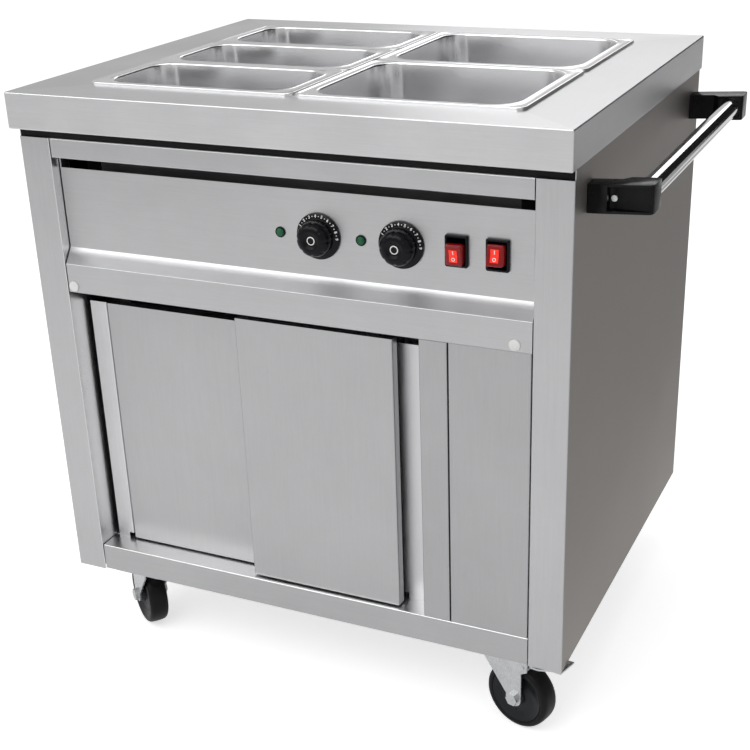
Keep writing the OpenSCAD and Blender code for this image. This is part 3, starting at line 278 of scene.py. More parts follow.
def material(name):
    """The material of that name, made the first time it is asked for."""
    if name in _made:
        return _made[name]
    f = finish()
    steel, top, pan, inner = tuple(f.steel), tuple(f.top), tuple(f.pan), tuple(f.inner)
    plastic = tuple(f.plastic)
    rough = f.steel_roughness
    makers = {
        "sheet_along": lambda: brushed(name, steel, rough, "X"),
        "sheet_upright": lambda: brushed(name, steel, rough, "Z"),
        # A brighter copy of the sheet steel: painted light on the pillars' returns and the sill's top
        "sheet_painted_light": lambda: brushed(name, (0.93, 0.93, 0.93), 0.3, "X", 0.2),
        # A brighter copy of the sheet steel for the door jambs: painted light against the shade in their
        # recess
        "jamb_painted_light": lambda: brushed(name, tuple(min(c * 1.3, 0.95) for c in steel), rough, "Z"),
        # Darker copies of the sheet steel for the doors and the post: painted shade
        "door_sheet": lambda: brushed(name, tuple(c * 0.91 for c in steel), rough, "Z"),
        "post_painted_shade": lambda: brushed(name, tuple(c * 0.84 for c in steel), rough, "Z"),
        # The slope's steel is rougher, and its brighter colour is painted light
        "slope_painted_light": lambda: brushed(name, (0.86, 0.86, 0.87), 0.52, "X", 0.2, 0.08),
        # A darker copy of the sheet steel for the sill's faces: painted shade
        "sill_painted_shade": lambda: brushed(name, tuple(c * 0.9 for c in steel), rough, "X"),
        "top_along": lambda: brushed(name, top, rough, "X"),
        "top_back": lambda: brushed(name, tuple(c * 0.95 for c in top), rough, "Y"),
        # Warm grey steel on the side panels' outer faces, darker partly as painted shade
        "side_sheet": lambda: brushed(name, tuple(f.side), rough + 0.16, "Z", 0.25, 0.06),
        "pan_steel": lambda: polished(name, pan, f.pan_roughness),
        "inner_steel": lambda: brushed(name, inner, 0.42, "X", 0.3, 0.2),
        "tube_steel": lambda: brushed(name, inner, 0.35, "Y", 0.2, 0.2),
        "chrome": lambda: polished(name, (0.86, 0.86, 0.87), 0.07),
        "zinc_plate": lambda: zinc(name, (0.66, 0.67, 0.68), 0.3),
        "black_plastic": lambda: moulded(name, plastic, 0.34),
        "black_gloss": lambda: moulded(name, (0.003, 0.003, 0.005), 0.2, 900, 0.02, 0.18),
        "bracket_plastic": lambda: moulded(name, (0.004, 0.004, 0.005), 0.22, 1200, 0.05, 0.2),
        "seal_rubber": lambda: moulded(name, (0.006, 0.006, 0.006), 0.6, 1500, 0.3, 0.2),
        "tyre_rubber": lambda: moulded(name, (0.003, 0.003, 0.004), 0.34, 1500, 0.1, 0.2),
        "hub_plastic": lambda: moulded(name, (0.013, 0.014, 0.017), 0.34, 1400, 0.1, 0.25),
        "white_plastic": lambda: moulded(name, (0.78, 0.78, 0.77), 0.3, 1200, 0.1),
        "print_white": lambda: moulded(name, (0.82, 0.82, 0.8), 0.5, 2500, 0.1),
        "red_plastic": lambda: moulded(name, (0.5, 0.02, 0.015), 0.4, 1200, 0.15),
        "cable_black": lambda: moulded(name, (0.012, 0.012, 0.012), 0.45, 1200, 0.2),
        "mineral_wool": lambda: moulded(name, (0.02, 0.02, 0.021), 0.95, 500, 1.0, 0.1),
        "copper": lambda: polished(name, (0.72, 0.36, 0.2), 0.25),
        "red_lens": lambda: lens(name, tuple(f.red), 0.16),
        "red_window": lambda: lens(name, (0.85, 0.03, 0.015), 0.25, 0.4),
        "green_lens": lambda: lens(name, tuple(f.green), 0.14, 0.05, 900),
    }
    _made[name] = makers[name]()
    return _made[name]


def dress(node, *names):
    """Gives a CAD node its material; its mesh stays as it is."""
    slots = frame["nodes"][node].material_slots
    for i, slot in enumerate(slots):
        slot.material = material(names[min(i, len(names) - 1)])


# ------------------------------------------------------------------ mesh tools


def finished(name, bm, materials, body, nodes=(), sharp=SHARP, flip_check=True, flat=False):
    """Turns a bmesh in the row frame into a piece that rides on a body and stands for CAD nodes."""
    bmesh.ops.remove_doubles(bm, verts=bm.verts, dist=1e-6)
    if flip_check:
        bmesh.ops.recalc_face_normals(bm, faces=bm.faces)
    mesh = bpy.data.meshes.new(name)
    bm.to_mesh(mesh)
    bm.free()
    return place_piece(name, mesh, materials, body, nodes, sharp, flat)


def flat_shaded(mesh):
    """The mesh with normals that follow its large faces, so that sheets look flat up to their bends."""
    holder = bpy.data.objects.new("shading", mesh)
    bpy.context.scene.collection.objects.link(holder)
    weighted = holder.modifiers.new("shading", "WEIGHTED_NORMAL")
    weighted.weight = 100
    weighted.keep_sharp = True
    graph = bpy.context.evaluated_depsgraph_get()
    made = bpy.data.meshes.new_from_object(holder.evaluated_get(graph))
    bpy.data.objects.remove(holder)
    bpy.data.meshes.remove(mesh)
    return made


def place_piece(name, mesh, materials, body, nodes=(), sharp=SHARP, flat=False):
    for wanted in materials:
        mesh.materials.append(material(wanted))
    for polygon in mesh.polygons:
        polygon.use_smooth = True
    mesh.set_sharp_from_angle(angle=sharp)
    if flat:
        mesh = flat_shaded(mesh)
        mesh.name = name
    piece = bpy.data.objects.new(name, mesh)
    bpy.context.scene.collection.objects.link(piece)
    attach(piece, body)
    if nodes:
        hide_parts(*nodes)
    return piece


def traced(node, names, pick=None, body=CABINET, bevel=0.0, sharp=SHARP):
    """A copy of a CAD node with its corners merged, its flats joined and its bends shaded round.
    pick(normal, centre) chooses a material for each face."""
    bm = bmesh.new()
    bm.from_mesh(frame["nodes"][node].data)
    bmesh.ops.remove_doubles(bm, verts=bm.verts, dist=1e-5)
    bmesh.ops.dissolve_limit(bm, angle_limit=math.radians(0.5), verts=bm.verts, edges=bm.edges)
    if bevel:
        bevelled(bm, bevel, 2, 40)
    bmesh.ops.recalc_face_normals(bm, faces=bm.faces)
    for face in bm.faces:
        face.material_index = pick(face.normal, face.calc_center_median()) if pick else 0
    return finished(node + "_sheet", bm, names, body, [node], sharp, flip_check=False, flat=True)


def arc(centre, radius, start, end, steps):
    """Points on a circle from one angle to another, in degrees."""
    angles = [math.radians(start + (end - start) * i / steps) for i in range(steps + 1)]
    return [(centre[0] + radius * math.cos(a), centre[1] + radius * math.sin(a)) for a in angles]


def ring(low, high, radius, z, steps=6):
    """A rectangle with round corners, as points from the front right corner round to the left."""
    radius = max(radius, 1e-5)
    x0, y0 = low
    x1, y1 = high
    centres = [(x1 - radius, y0 + radius, -90), (x1 - radius, y1 - radius, 0),
               (x0 + radius, y1 - radius, 90), (x0 + radius, y0 + radius, 180)]
    flat = [p for x, y, a in centres for p in arc((x, y), radius, a, a + 90, steps)]
    return [Vector((x, y, z)) for x, y in flat]


def loft(bm, rings, closed=False, caps=False, index=None):
    """Joins rings of equal length with quads. closed joins the last to the first, caps fills both ends,
    and index(place in ring) gives each strip its material."""
    rows = [[bm.verts.new(p) for p in points] for points in rings]
    n = len(rows[0])
    pairs = list(zip(rows, rows[1:])) + ([(rows[-1], rows[0])] if closed else [])
    for a, b in pairs:
        for i in range(n):
            j = (i + 1) % n
            face = bm.faces.new((a[i], a[j], b[j], b[i]))
            if index:
                face.material_index = index(i)
    if caps:
        bm.faces.new(list(reversed(rows[0])))
        bm.faces.new(rows[-1])
    return rows


def lathe(bm, outline, place, steps=64, radius_of=None, index=None):
    """Turns an outline of (radius, height) about the local Z axis and puts it in place. Points at
    radius 0 close the ends. radius_of(radius, height, angle) shapes it, index(k) colours strip k."""
    rows = []
    for r, h in outline:
        if r < 1e-7:
            rows.append([bm.verts.new(place @ Vector((0, 0, h)))])
            continue
        row = []
        for i in range(steps):
            a = 2 * math.pi * i / steps
            rr = radius_of(r, h, a) if radius_of else r
            row.append(bm.verts.new(place @ Vector((rr * math.cos(a), rr * math.sin(a), h))))
        rows.append(row)
    for k, (a, b) in enumerate(zip(rows, rows[1:])):
        for i in range(steps):
            j = (i + 1) % steps
            if len(a) == 1 and len(b) == 1:
                continue
            if len(a) == 1:
                face = bm.faces.new((a[0], b[j], b[i]))
            elif len(b) == 1:
                face = bm.faces.new((a[i], a[j], b[0]))
            else:
                face = bm.faces.new((a[i], a[j], b[j], b[i]))
            if index:
                face.material_index = index(k)
    return rows


def prism(bm, outline, place, depth):
    """An outline in the local XY plane, drawn depth along local Z and put in place."""
    low = [bm.verts.new(place @ Vector((x, y, 0))) for x, y in outline]
    high = [bm.verts.new(place @ Vector((x, y, depth))) for x, y in outline]
    faces = [bm.faces.new(list(reversed(low))), bm.faces.new(high)]
    n = len(outline)
    faces += [bm.faces.new((low[i], low[(i + 1) % n], high[(i + 1) % n], high[i])) for i in range(n)]
    return faces


def bevelled(bm, width, segments=3, angle=30):
    """Rounds every edge that turns by more than the angle."""
    bmesh.ops.remove_doubles(bm, verts=bm.verts, dist=1e-6)
    bmesh.ops.recalc_face_normals(bm, faces=bm.faces)
    edges = [e for e in bm.edges if len(e.link_faces) == 2
             and e.calc_face_angle(0) > math.radians(angle)]
    bmesh.ops.bevel(bm, geom=edges, offset=width, segments=segments, profile=0.5, affect="EDGES",
                    clamp_overlap=True)


def sheet_outline(line, thickness, radius, steps=5):
    """The closed outline of a sheet folded along a line, lying on its left, with round bends."""
    points = [Vector(p) for p in line]
    ways = [(b - a).normalized() for a, b in zip(points, points[1:])]
    left = [Vector((-w.y, w.x)) for w in ways]
    near, far = [points[0]], [points[0] + left[0] * thickness]
    for i in range(1, len(points) - 1):
        turn = ways[i - 1].x * ways[i].y - ways[i - 1].y * ways[i].x
        side = 1 if turn > 0 else -1
        line_r = radius + thickness if side > 0 else radius
        other_r = radius if side > 0 else radius + thickness
        angle = math.acos(max(-1, min(1, ways[i - 1].dot(ways[i]))))
        start = points[i] - ways[i - 1] * line_r * math.tan(angle / 2)
        centre = start + left[i - 1] * side * line_r
        first = math.degrees(math.atan2(*(-left[i - 1] * side).yx))
        swing = math.degrees(angle) * side
        near += [Vector(p) for p in arc(centre, line_r, first, first + swing, steps)]
        far += [Vector(p) for p in arc(centre, other_r, first, first + swing, steps)]
    near.append(points[-1])
    far.append(points[-1] + left[-1] * thickness)
    return near + far[::-1]


def axis_place(origin, axis_x, axis_y):
    """A placement whose local X and Y point along two row axes."""
    x, y = Vector(axis_x), Vector(axis_y)
    z = x.cross(y)
    m = Matrix.Identity(4)
    for col, v in enumerate((x, y, z)):
        for row in range(3):
            m[row][col] = v[row]
    m.translation = Vector(origin)
    return m


def facing_front(x, y, z):
    """A placement on an upright face that looks to the front: local X right, Y up, Z out."""
    return axis_place((x, y, z), (1, 0, 0), (0, 0, 1))


def joint(name):
    return next(j for j in frame["joints"] if j["name"] == name)


# ------------------------------------------------------------------ worktop and pans


def build_worktop():
    low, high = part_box("worktop")
    bars_low, bars_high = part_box("pan_support_bars")
    hole_low, hole_high = bars_low.xy, bars_high.xy
    t = 1.5 * MM
    border = 0.09
    drop = bars_low.z
    flange = 30 * MM
    line = [(border, drop), (border, high.z), (0, high.z), (0, low.z), (flange, low.z)]
    outline = sheet_outline(line, t, sizes().edge_r - t, 5)
    bm = bmesh.new()
    rings = []
    for s, z in outline:
        if s < border / 2:
            a, b = low.xy + Vector((s, s)), high.xy - Vector((s, s))
            r = max(sizes().edge_r - s, 0.3 * MM)
        else:
            q = border - s
            a, b = hole_low - Vector((q, q)), hole_high + Vector((q, q))
            r = 6 * MM + q
        rings.append(ring(a, b, r, z, 6))
    # Strips that run from side to side are brushed along X, and the others along Y
    loft(bm, rings, closed=True, index=lambda i: 1 if 3 <= i % 14 < 10 else 0)
    finished("worktop_top", bm, ["top_along", "top_back"], CABINET, ["worktop"],
             sharp=SHARP, flat=True)


class TROLLEY_OT_worktop(bpy.types.Operator):
    """Build the folded worktop and dress the bars and the well under it"""

    bl_idname = "trolley.worktop"
    bl_label = "Worktop"

    def execute(self, context):
        build_worktop()
        dress("pan_support_bars", "pan_steel")
        dress("water_well", "inner_steel")
        dress("well_element", "tube_steel")
        dress("well_insulation", "mineral_wool")
        return {"FINISHED"}


def build_pan(node):
    low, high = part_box(node)
    rim_w = Vector((PAN_END_RIM, PAN_SIDE_RIM))
    a, b = low.xy, high.xy
    top, base = high.z, low.z
    lip = sizes().pan_lip
    fillet = sizes().pan_fillet
    t = 1.0 * MM
    corner = 38 * MM
    lean = 6 * MM
    foot = top - 4 * MM
    inner_a, inner_b = a + rim_w, b - rim_w

    def outer(inset, r, z):
        return ring(a + Vector((inset, inset)), b - Vector((inset, inset)), r, z, 12)

    def inner(inset, z):
        return ring(inner_a + Vector((inset, inset)), inner_b - Vector((inset, inset)),
                    corner - inset * 0.6, z, 12)

    crown = 1.4 * MM
    rings = [outer(t, 12 * MM, foot), outer(0, 13 * MM, foot), outer(0, 13 * MM, top - crown)]
    for k in range(1, 5):
        angle = math.radians(90 * k / 4)
        rings.append(outer(crown * (1 - math.cos(angle)), 13 * MM, top - crown * (1 - math.sin(angle))))
    # A shallow step runs round the rim, then the lip rises and rolls into the wall
    rings += [outer(3.2 * MM, 12 * MM, top), outer(4.2 * MM, 12 * MM, top - 0.7 * MM)]
    rings += [inner(-5.0 * MM, top - 0.7 * MM), inner(-3.8 * MM, top - 0.15 * MM)]
    for k in range(0, 6):
        angle = math.radians(90 * k / 5)
        roll = 3.0 * MM
        rings.append(inner(-roll * (1 - math.sin(angle)), top - roll * (1 - math.cos(angle))))
    wall_low = base + t + fillet
    for k in range(1, 5):
        f = k / 4
        rings.append(inner(lean * f, top - 3.0 * MM + (wall_low - top + 3.0 * MM) * f))
    for k in range(1, 7):
        angle = math.radians(90 * k / 6)
        rings.append(inner(lean + fillet * (1 - math.cos(angle)), wall_low - fillet * math.sin(angle)))
    inside = len(rings)
    # Back up the outside
    for k in range(6, 0, -1):
        angle = math.radians(90 * k / 6)
        rings.append(inner(lean - t + fillet * (1 - math.cos(angle)),
                           wall_low - t - fillet * math.sin(angle) + t * (1 - math.sin(angle))))
    rings.append(inner(-t, top - 4.5 * MM))
    rings.append(inner(-3.0 * MM, top - 2 * t))
    rings.append(outer(3 * MM, 12 * MM, top - 2 * t))
    rings.append(outer(t, 12 * MM, top - 2.4 * t))
    bm = bmesh.new()
    rows = [[bm.verts.new(p) for p in points] for points in rings]
    n = len(rows[0])
    for k in range(len(rows)):
        if k == inside - 1:
            continue
        one, two = rows[k], rows[(k + 1) % len(rows)]
        for i in range(n):
            j = (i + 1) % n
            bm.faces.new((one[i], one[j], two[j], two[i]))
    # The floor dips a little towards its middle
    for row, sink in ((rows[inside - 1], 0.6 * MM), (rows[inside], 0.6 * MM)):
        centre = sum((v.co for v in row), Vector()) / n
        middle = [bm.verts.new(centre + (v.co - centre) * 0.5 - Vector((0, 0, sink * 0.5))) for v in row]
        for i in range(n):
            j = (i + 1) % n
            bm.faces.new((row[i], row[j], middle[j], middle[i]))
        hub = bm.verts.new(centre - Vector((0, 0, sink * 0.6)))
        for i in range(n):
            bm.faces.new((middle[i], middle[(i + 1) % n], hub))
    finished(node + "_drawn", bm, ["pan_steel"], node + "_body", [node],
             sharp=math.radians(50))


PAN_END_RIM = 19 * MM
PAN_SIDE_RIM = 11.75 * MM


class TROLLEY_OT_pans(bpy.types.Operator):
    """Build the five drawn food pans with their rolled rims"""

    bl_idname = "trolley.pans"
    bl_label = "Food pans"

    def execute(self, context):
        for node in PANS:
            build_pan(node)
        return {"FINISHED"}


# ------------------------------------------------------------------ cabinet


BRACKET_RISE = 5 * MM


def outer_side(normal, centre):
    """Picks a darker warm grey steel, partly painted shade, on the side panels, and a brighter copy of the
    steel, which is painted light, on the pillars' returns.
    """
    if abs(normal.x) < 0.7:
        return 0
    if normal.x * centre.x > 0:
        return 1 if abs(centre.y) < 0.3 else 0
    return 2 if centre.y < -0.25 else 0


def slope_face(normal, centre):
    """Picks a rougher steel, painted brighter as painted light, for the slope under the controls and its
    bends.
    """
    return 1 if normal.y < -0.5 and normal.z > 0.12 else 0


def sill_face(normal, centre):
    """Picks a brighter copy of the steel, which is painted light, for the top of the sill."""
    return 1 if normal.z > 0.7 else 0


class TROLLEY_OT_cabinet(bpy.types.Operator):
    """Dress the folded cabinet sheets and the doors"""

    bl_idname = "trolley.cabinet"
    bl_label = "Cabinet and doors"

    def execute(self, context):
        for node in ("side_panel_left", "side_panel_right"):
            # The pillars' returns get painted light, and the side panels' outer faces a darker steel that
            # is partly painted shade
            traced(node, ["sheet_upright", "side_sheet", "sheet_painted_light"], outer_side)
        # The slope gets a rougher steel that is painted brighter as painted light
        traced("control_fascia", ["sheet_along", "slope_painted_light"], slope_face)
        # The sill's top gets painted light and its other faces painted shade
        traced("base_tray", ["sill_painted_shade", "sheet_painted_light"], sill_face)
        for node in ("door_post", "service_panel"):
            # The post and the service panel get a darker steel as painted shade
            traced(node, ["post_painted_shade"])
        # The jambs get a brighter steel as painted light
        traced("door_jambs", ["jamb_painted_light"])
        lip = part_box("control_fascia")[0].z
        for node, drop in (("front_door", 9 * MM), ("rear_door", 25 * MM)):
            # The hangers above a door's top edge are black
            margin = 0.5 * MM
            top = lip - drop + margin
            # The doors' steel is a darker copy, painted shade
            traced(node, ["door_sheet", "seal_rubber"], lambda normal, centre: int(centre.z > top),
                   body=node + "_body")
        for node in ("cupboard_ceiling", "cupboard_shelf", "back_panel"):
            dress(node, "sheet_along")
        for node in ("cupboard_liner", "shelf_runners"):
            dress(node, "sheet_upright")
        dress("top_seal_strip", "seal_rubber")
        for node in ("base_frame", "door_tracks"):
            dress(node, "inner_steel")
        for node in ("front_door_glides", "rear_door_glides"):
            dress(node, "black_plastic")
        return {"FINISHED"}


# ------------------------------------------------------------------ controls


def text_mesh(bm, words, size, place, depth, index):
    """Adds flat lettering with its middle at the placement's origin."""
    curve = bpy.data.curves.new("digits", "FONT")
    curve.body = words
    curve.size = size
    curve.align_x = "CENTER"
    curve.align_y = "CENTER"
    curve.extrude = depth
    curve.offset = size * 0.03
    curve.resolution_u = 3
    holder = bpy.data.objects.new("digits", curve)
    bpy.context.scene.collection.objects.link(holder)
    mesh = bpy.data.meshes.new_from_object(holder.evaluated_get(bpy.context.evaluated_depsgraph_get()))
    mesh.transform(place)
    before = len(bm.faces)
    bm.from_mesh(mesh)
    bm.faces.ensure_lookup_table()
    for face in bm.faces[before:]:
        face.material_index = index
    bpy.data.objects.remove(holder)
    bpy.data.curves.remove(curve)
    bpy.data.meshes.remove(mesh)


def build_dial(side):
    node = f"dial_{side}"
    low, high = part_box(node)
    spindle = Vector(joint(f"dial_{side}_turn")["pos_m"])
    skirt = (high.x - low.x) / 2
    back = spindle.y - 1.4 * MM
    reach = back - low.y
    place = facing_front(spindle.x, back, spindle.z)
    grip = 24.6 * MM
    count = sizes().dial_hollows

    def shape(r, h, angle):
        if h < 9 * MM or r < 14 * MM:
            return r
        wave = max(0.0, math.cos(count * angle)) ** 3
        fade = min(1.0, (h - 9 * MM) / (6 * MM)) * min(1.0, max(0.0, (r - 14 * MM) / (7 * MM)))
        return r - 1.0 * MM * wave * fade

    bm = bmesh.new()
    body = [(0, 0), (skirt - 1 * MM, 0), (skirt, 0.6 * MM), (skirt, 1.4 * MM), (skirt - 0.6 * MM, 2.0 * MM),
            (25.6 * MM, 3.4 * MM), (25.0 * MM, 3.5 * MM), (24.4 * MM, 4.2 * MM), (23.8 * MM, 5.6 * MM),
            (grip - 0.2 * MM, 9 * MM), (grip, 11.5 * MM)]
    body += [(grip - 11 * MM + 11 * MM * math.cos(a), reach - 12.5 * MM + 12.4 * MM * math.sin(a))
             for a in (math.radians(v) for v in range(8, 91, 8))]
    body += [(12.4 * MM, reach), (11.2 * MM, reach - 0.3 * MM), (10.2 * MM, reach - 1.1 * MM),
             (9.4 * MM, reach - 2.2 * MM), (7.4 * MM, reach - 2.9 * MM), (6.2 * MM, reach - 2.6 * MM),
             (5.9 * MM, reach - 2.5 * MM)]
    cap = len(body)
    body += [(5.7 * MM, reach - 2.2 * MM), (4.5 * MM, reach - 2.1 * MM), (4.3 * MM, reach - 2.4 * MM),
             (0, reach - 2.3 * MM)]
    lathe(bm, body, place, 128, shape, index=lambda k: 1 if cap - 1 <= k < cap + 1 else 0)
    shaft = (high.y - back)
    lathe(bm, [(0, 0), (3 * MM, 0), (3 * MM, -shaft + 0.5 * MM), (2.5 * MM, -shaft), (0, -shaft)],
          place @ Matrix.Translation((0, 0, -0.01 * MM)), 24)
    bmesh.ops.remove_doubles(bm, verts=bm.verts, dist=1e-6)
    bmesh.ops.recalc_face_normals(bm, faces=bm.faces)
    # Numbers and dots over the upper arc of the skirt
    radius = 28.4 * MM
    slope = math.atan2(1.4, 5.8)
    for k in range(17):
        angle = math.radians(62 - k * 9.6)
        spot = (Matrix.Rotation(angle, 4, "Z") @ Matrix.Translation((0, radius, 2.78 * MM))
                @ Matrix.Rotation(-slope, 4, "X"))
        if k % 2 == 0:
            text_mesh(bm, str(k // 2 + 1), sizes().dial_digit, place @ spot, 0.04 * MM, 1)
        else:
            lathe(bm, [(0, 0), (0.75 * MM, 0), (0.75 * MM, 0.08 * MM), (0, 0.08 * MM)], place @ spot, 10,
                  index=lambda _: 1)
    finished(node + "_knob", bm, ["black_gloss", "print_white"], node + "_body", [node],
             sharp=math.radians(40), flip_check=False)


def build_lamps():
    low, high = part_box("indicator_lamps")
    bm = bmesh.new()
    r = 7.5 * MM
    dial_a = Vector(joint("dial_left_turn")["pos_m"])
    dial_b = Vector(joint("dial_right_turn")["pos_m"])
    for spindle in (dial_a, dial_b):
        place = facing_front(spindle.x - 58.5 * MM, spindle.y, spindle.z)
        lathe(bm, [(0, -26 * MM), (r - 2 * MM, -26 * MM), (r - 2 * MM, 0), (r, 0), (r, 1.2 * MM),
                   (r - 0.4 * MM, 1.8 * MM), (r - 1.2 * MM, 2.0 * MM), (r - 1.6 * MM, 1.6 * MM),
                   (r - 2.0 * MM, 2.4 * MM), (r - 3.4 * MM, 3.7 * MM), (r - 5.4 * MM, 4.3 * MM),
                   (0, 4.45 * MM)], place, 40, index=lambda k: 1 if 2 <= k < 7 else 0)
    finished("indicator_lamp_lenses", bm, ["green_lens", "black_gloss"], CABINET, ["indicator_lamps"])


def build_caps():
    low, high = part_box("fascia_screw_caps")
    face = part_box("control_fascia")[0].y
    z = (low.z + high.z) / 2
    r = (high.z - low.z) / 2
    bm = bmesh.new()
    for x in (low.x + r, high.x - r):
        place = facing_front(x, face, z)
        lathe(bm, [(0, -8 * MM), (3 * MM, -8 * MM), (3 * MM, 0), (r, 0), (r, 0.9 * MM)]
              + [(r - 1.2 * MM * (1 - math.cos(a)), 0.9 * MM + 1.2 * MM * math.sin(a))
                 for a in (math.radians(v) for v in (22, 45, 68, 90))]
              + [(r * 0.55, 2.45 * MM), (0, 2.55 * MM)], place, 40)
    finished("fascia_caps", bm, ["white_plastic"], CABINET, ["fascia_screw_caps"])


def rocker_place(side):
    pivot = Vector(joint(f"rocker_{side}_tip")["pos_m"])
    tilt = math.radians(9 if side == "left" else -9)
    return Matrix.Translation(pivot) @ Matrix.Rotation(tilt, 4, "X")


def build_rocker(side):
    node = f"rocker_{side}"
    place = rocker_place(side)
    w, h, front = 22.6 * MM, 28 * MM, 20 * MM
    bm = bmesh.new()
    outline = [(-front + 1.6 * MM, 0), (-front, h / 2), (-front + 10 * MM, h / 2), (3 * MM, 6 * MM),
               (3 * MM, -6 * MM), (-front + 10 * MM, -h / 2), (-front, -h / 2)]
    lay = place @ axis_place((-w / 2, 0, 0), (0, 1, 0), (0, 0, 1))
    prism(bm, outline, lay, w)
    bevelled(bm, 2.2 * MM, 4, 25)
    lathe(bm, [(0, 0), (1.5 * MM, 0), (1.5 * MM, w + 2.4 * MM), (0, w + 2.4 * MM)],
          place @ axis_place((-w / 2 - 1.2 * MM, 0, 0), (0, 1, 0), (0, 0, 1)), 16)
    finished(node + "_cap", bm, ["red_lens"], node + "_body", [node])
    # A brighter lit window with a bar over a ring
    bm = bmesh.new()
    lean = math.atan2(1.6 * MM, h / 2)
    for half in (1, -1):
        tip = (place @ Matrix.Translation((0, -front + 0.85 * MM, half * h / 8))
               @ Matrix.Rotation(half * lean, 4, "X"))
        panel = tip @ facing_front(0, 0, 0)
        hw, hh = 5.6 * MM, 5.2 * MM
        prism(bm, [(-hw, -hh), (hw, -hh), (hw, hh), (-hw, hh)], panel, 0.12 * MM)
        mark = panel @ Matrix.Translation((0, half * 1.2 * MM, 0.12 * MM))
        before = len(bm.faces)
        if half > 0:
            prism(bm, [(-0.6 * MM, -2.6 * MM), (0.6 * MM, -2.6 * MM), (0.6 * MM, 2.6 * MM),
                       (-0.6 * MM, 2.6 * MM)], mark, 0.1 * MM)
        else:
            lathe(bm, [(1.5 * MM, 0), (2.5 * MM, 0), (2.5 * MM, 0.1 * MM), (1.5 * MM, 0.1 * MM),
                       (1.5 * MM, 0)], mark, 24)
        bm.faces.ensure_lookup_table()
        for face in bm.faces[before:]:
            face.material_index = 1
    finished(node + "_window", bm, ["red_window", "print_white"], node + "_body")


def build_switches():
    node = "switch_bodies"
    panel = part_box("indicator_lamps")[0].y + 4.5 * MM
    bm = bmesh.new()
    w, t, tilt = 23.6 * MM, 2.2 * MM, math.radians(9)
    h = 2 * (14 * MM * math.cos(tilt) + 20 * MM * math.sin(tilt) + 0.5 * MM)
    for side in ("left", "right"):
        pivot = Vector(joint(f"rocker_{side}_tip")["pos_m"])

        def frame_ring(half_w, half_h, r, y):
            flat = ring((-half_w, -half_h), (half_w, half_h), r, 0, 5)
            return [Vector((pivot.x + p.x, y, pivot.z + p.y)) for p in flat]

        bw, bh = 16 * MM, 21.5 * MM
        depth = pivot.y - 4 * MM
        face = depth - 5 * MM
        rings = [frame_ring(w / 2 + t, h / 2 + t, 1 * MM, depth + 22 * MM),
                 frame_ring(w / 2 + t, h / 2 + t, 1 * MM, depth),
                 frame_ring(bw, bh, 3 * MM, depth),
                 frame_ring(bw, bh, 3 * MM, face + 1.6 * MM),
                 frame_ring(bw - 0.5 * MM, bh - 0.5 * MM, 2.6 * MM, face + 0.6 * MM),
                 frame_ring(bw - 1.6 * MM, bh - 1.6 * MM, 2 * MM, face),
                 frame_ring(w / 2 + 1.4 * MM, h / 2 + 1.2 * MM, 1.4 * MM, face),
                 frame_ring(w / 2 + 0.4 * MM, h / 2 + 0.4 * MM, 1 * MM, face + 0.8 * MM),
                 frame_ring(w / 2, h / 2, 1 * MM, face + 2 * MM),
                 frame_ring(w / 2, h / 2, 1 * MM, depth + 19.8 * MM)]
        loft(bm, rings, caps=True)
        for dz in (-10, 0, 10):
            prism(bm, [(-3 * MM, -0.5 * MM), (3 * MM, -0.5 * MM), (3 * MM, 0.5 * MM), (-3 * MM, 0.5 * MM)],
                  facing_front(pivot.x, depth + 31 * MM, pivot.z + dz * MM), 9 * MM)
    finished("switch_cases", bm, ["black_gloss"], CABINET, [node])


class TROLLEY_OT_controls(bpy.types.Operator):
    """Build the dials, lamps, switches and screw caps of the control panel"""

    bl_idname = "trolley.controls"
    bl_label = "Controls"

    def execute(self, context):
        for side in ("left", "right"):
            build_dial(side)
            build_rocker(side)
        build_switches()
        build_lamps()
        build_caps()
        return {"FINISHED"}


# ------------------------------------------------------------------ handle


def cut_piece(base, cutters, width, segments):
    """Cuts each cutter out of a base bmesh, rounds the edges and returns the mesh."""
    def holder(bm, name):
        bmesh.ops.remove_doubles(bm, verts=bm.verts, dist=1e-6)
        bmesh.ops.recalc_face_normals(bm, faces=bm.faces)
        mesh = bpy.data.meshes.new(name)
        bm.to_mesh(mesh)
        bm.free()
        o = bpy.data.objects.new(name, mesh)
        bpy.context.scene.collection.objects.link(o)
        return o

    body = holder(base, "cut_base")
    tools = [holder(c, "cutter") for c in cutters]
    for tool in tools:
        step = body.modifiers.new("cut", "BOOLEAN")
        step.operation = "DIFFERENCE"
        step.solver = "EXACT"
        step.object = tool
    soften = body.modifiers.new("soften", "BEVEL")
    soften.width = width
    soften.segments = segments
    soften.limit_method = "ANGLE"
    soften.angle_limit = math.radians(28)
    soften.harden_normals = False
    mesh = bpy.data.meshes.new_from_object(body.evaluated_get(bpy.context.evaluated_depsgraph_get()))
    for o in [body, *tools]:
        bpy.data.objects.remove(o)
    return mesh


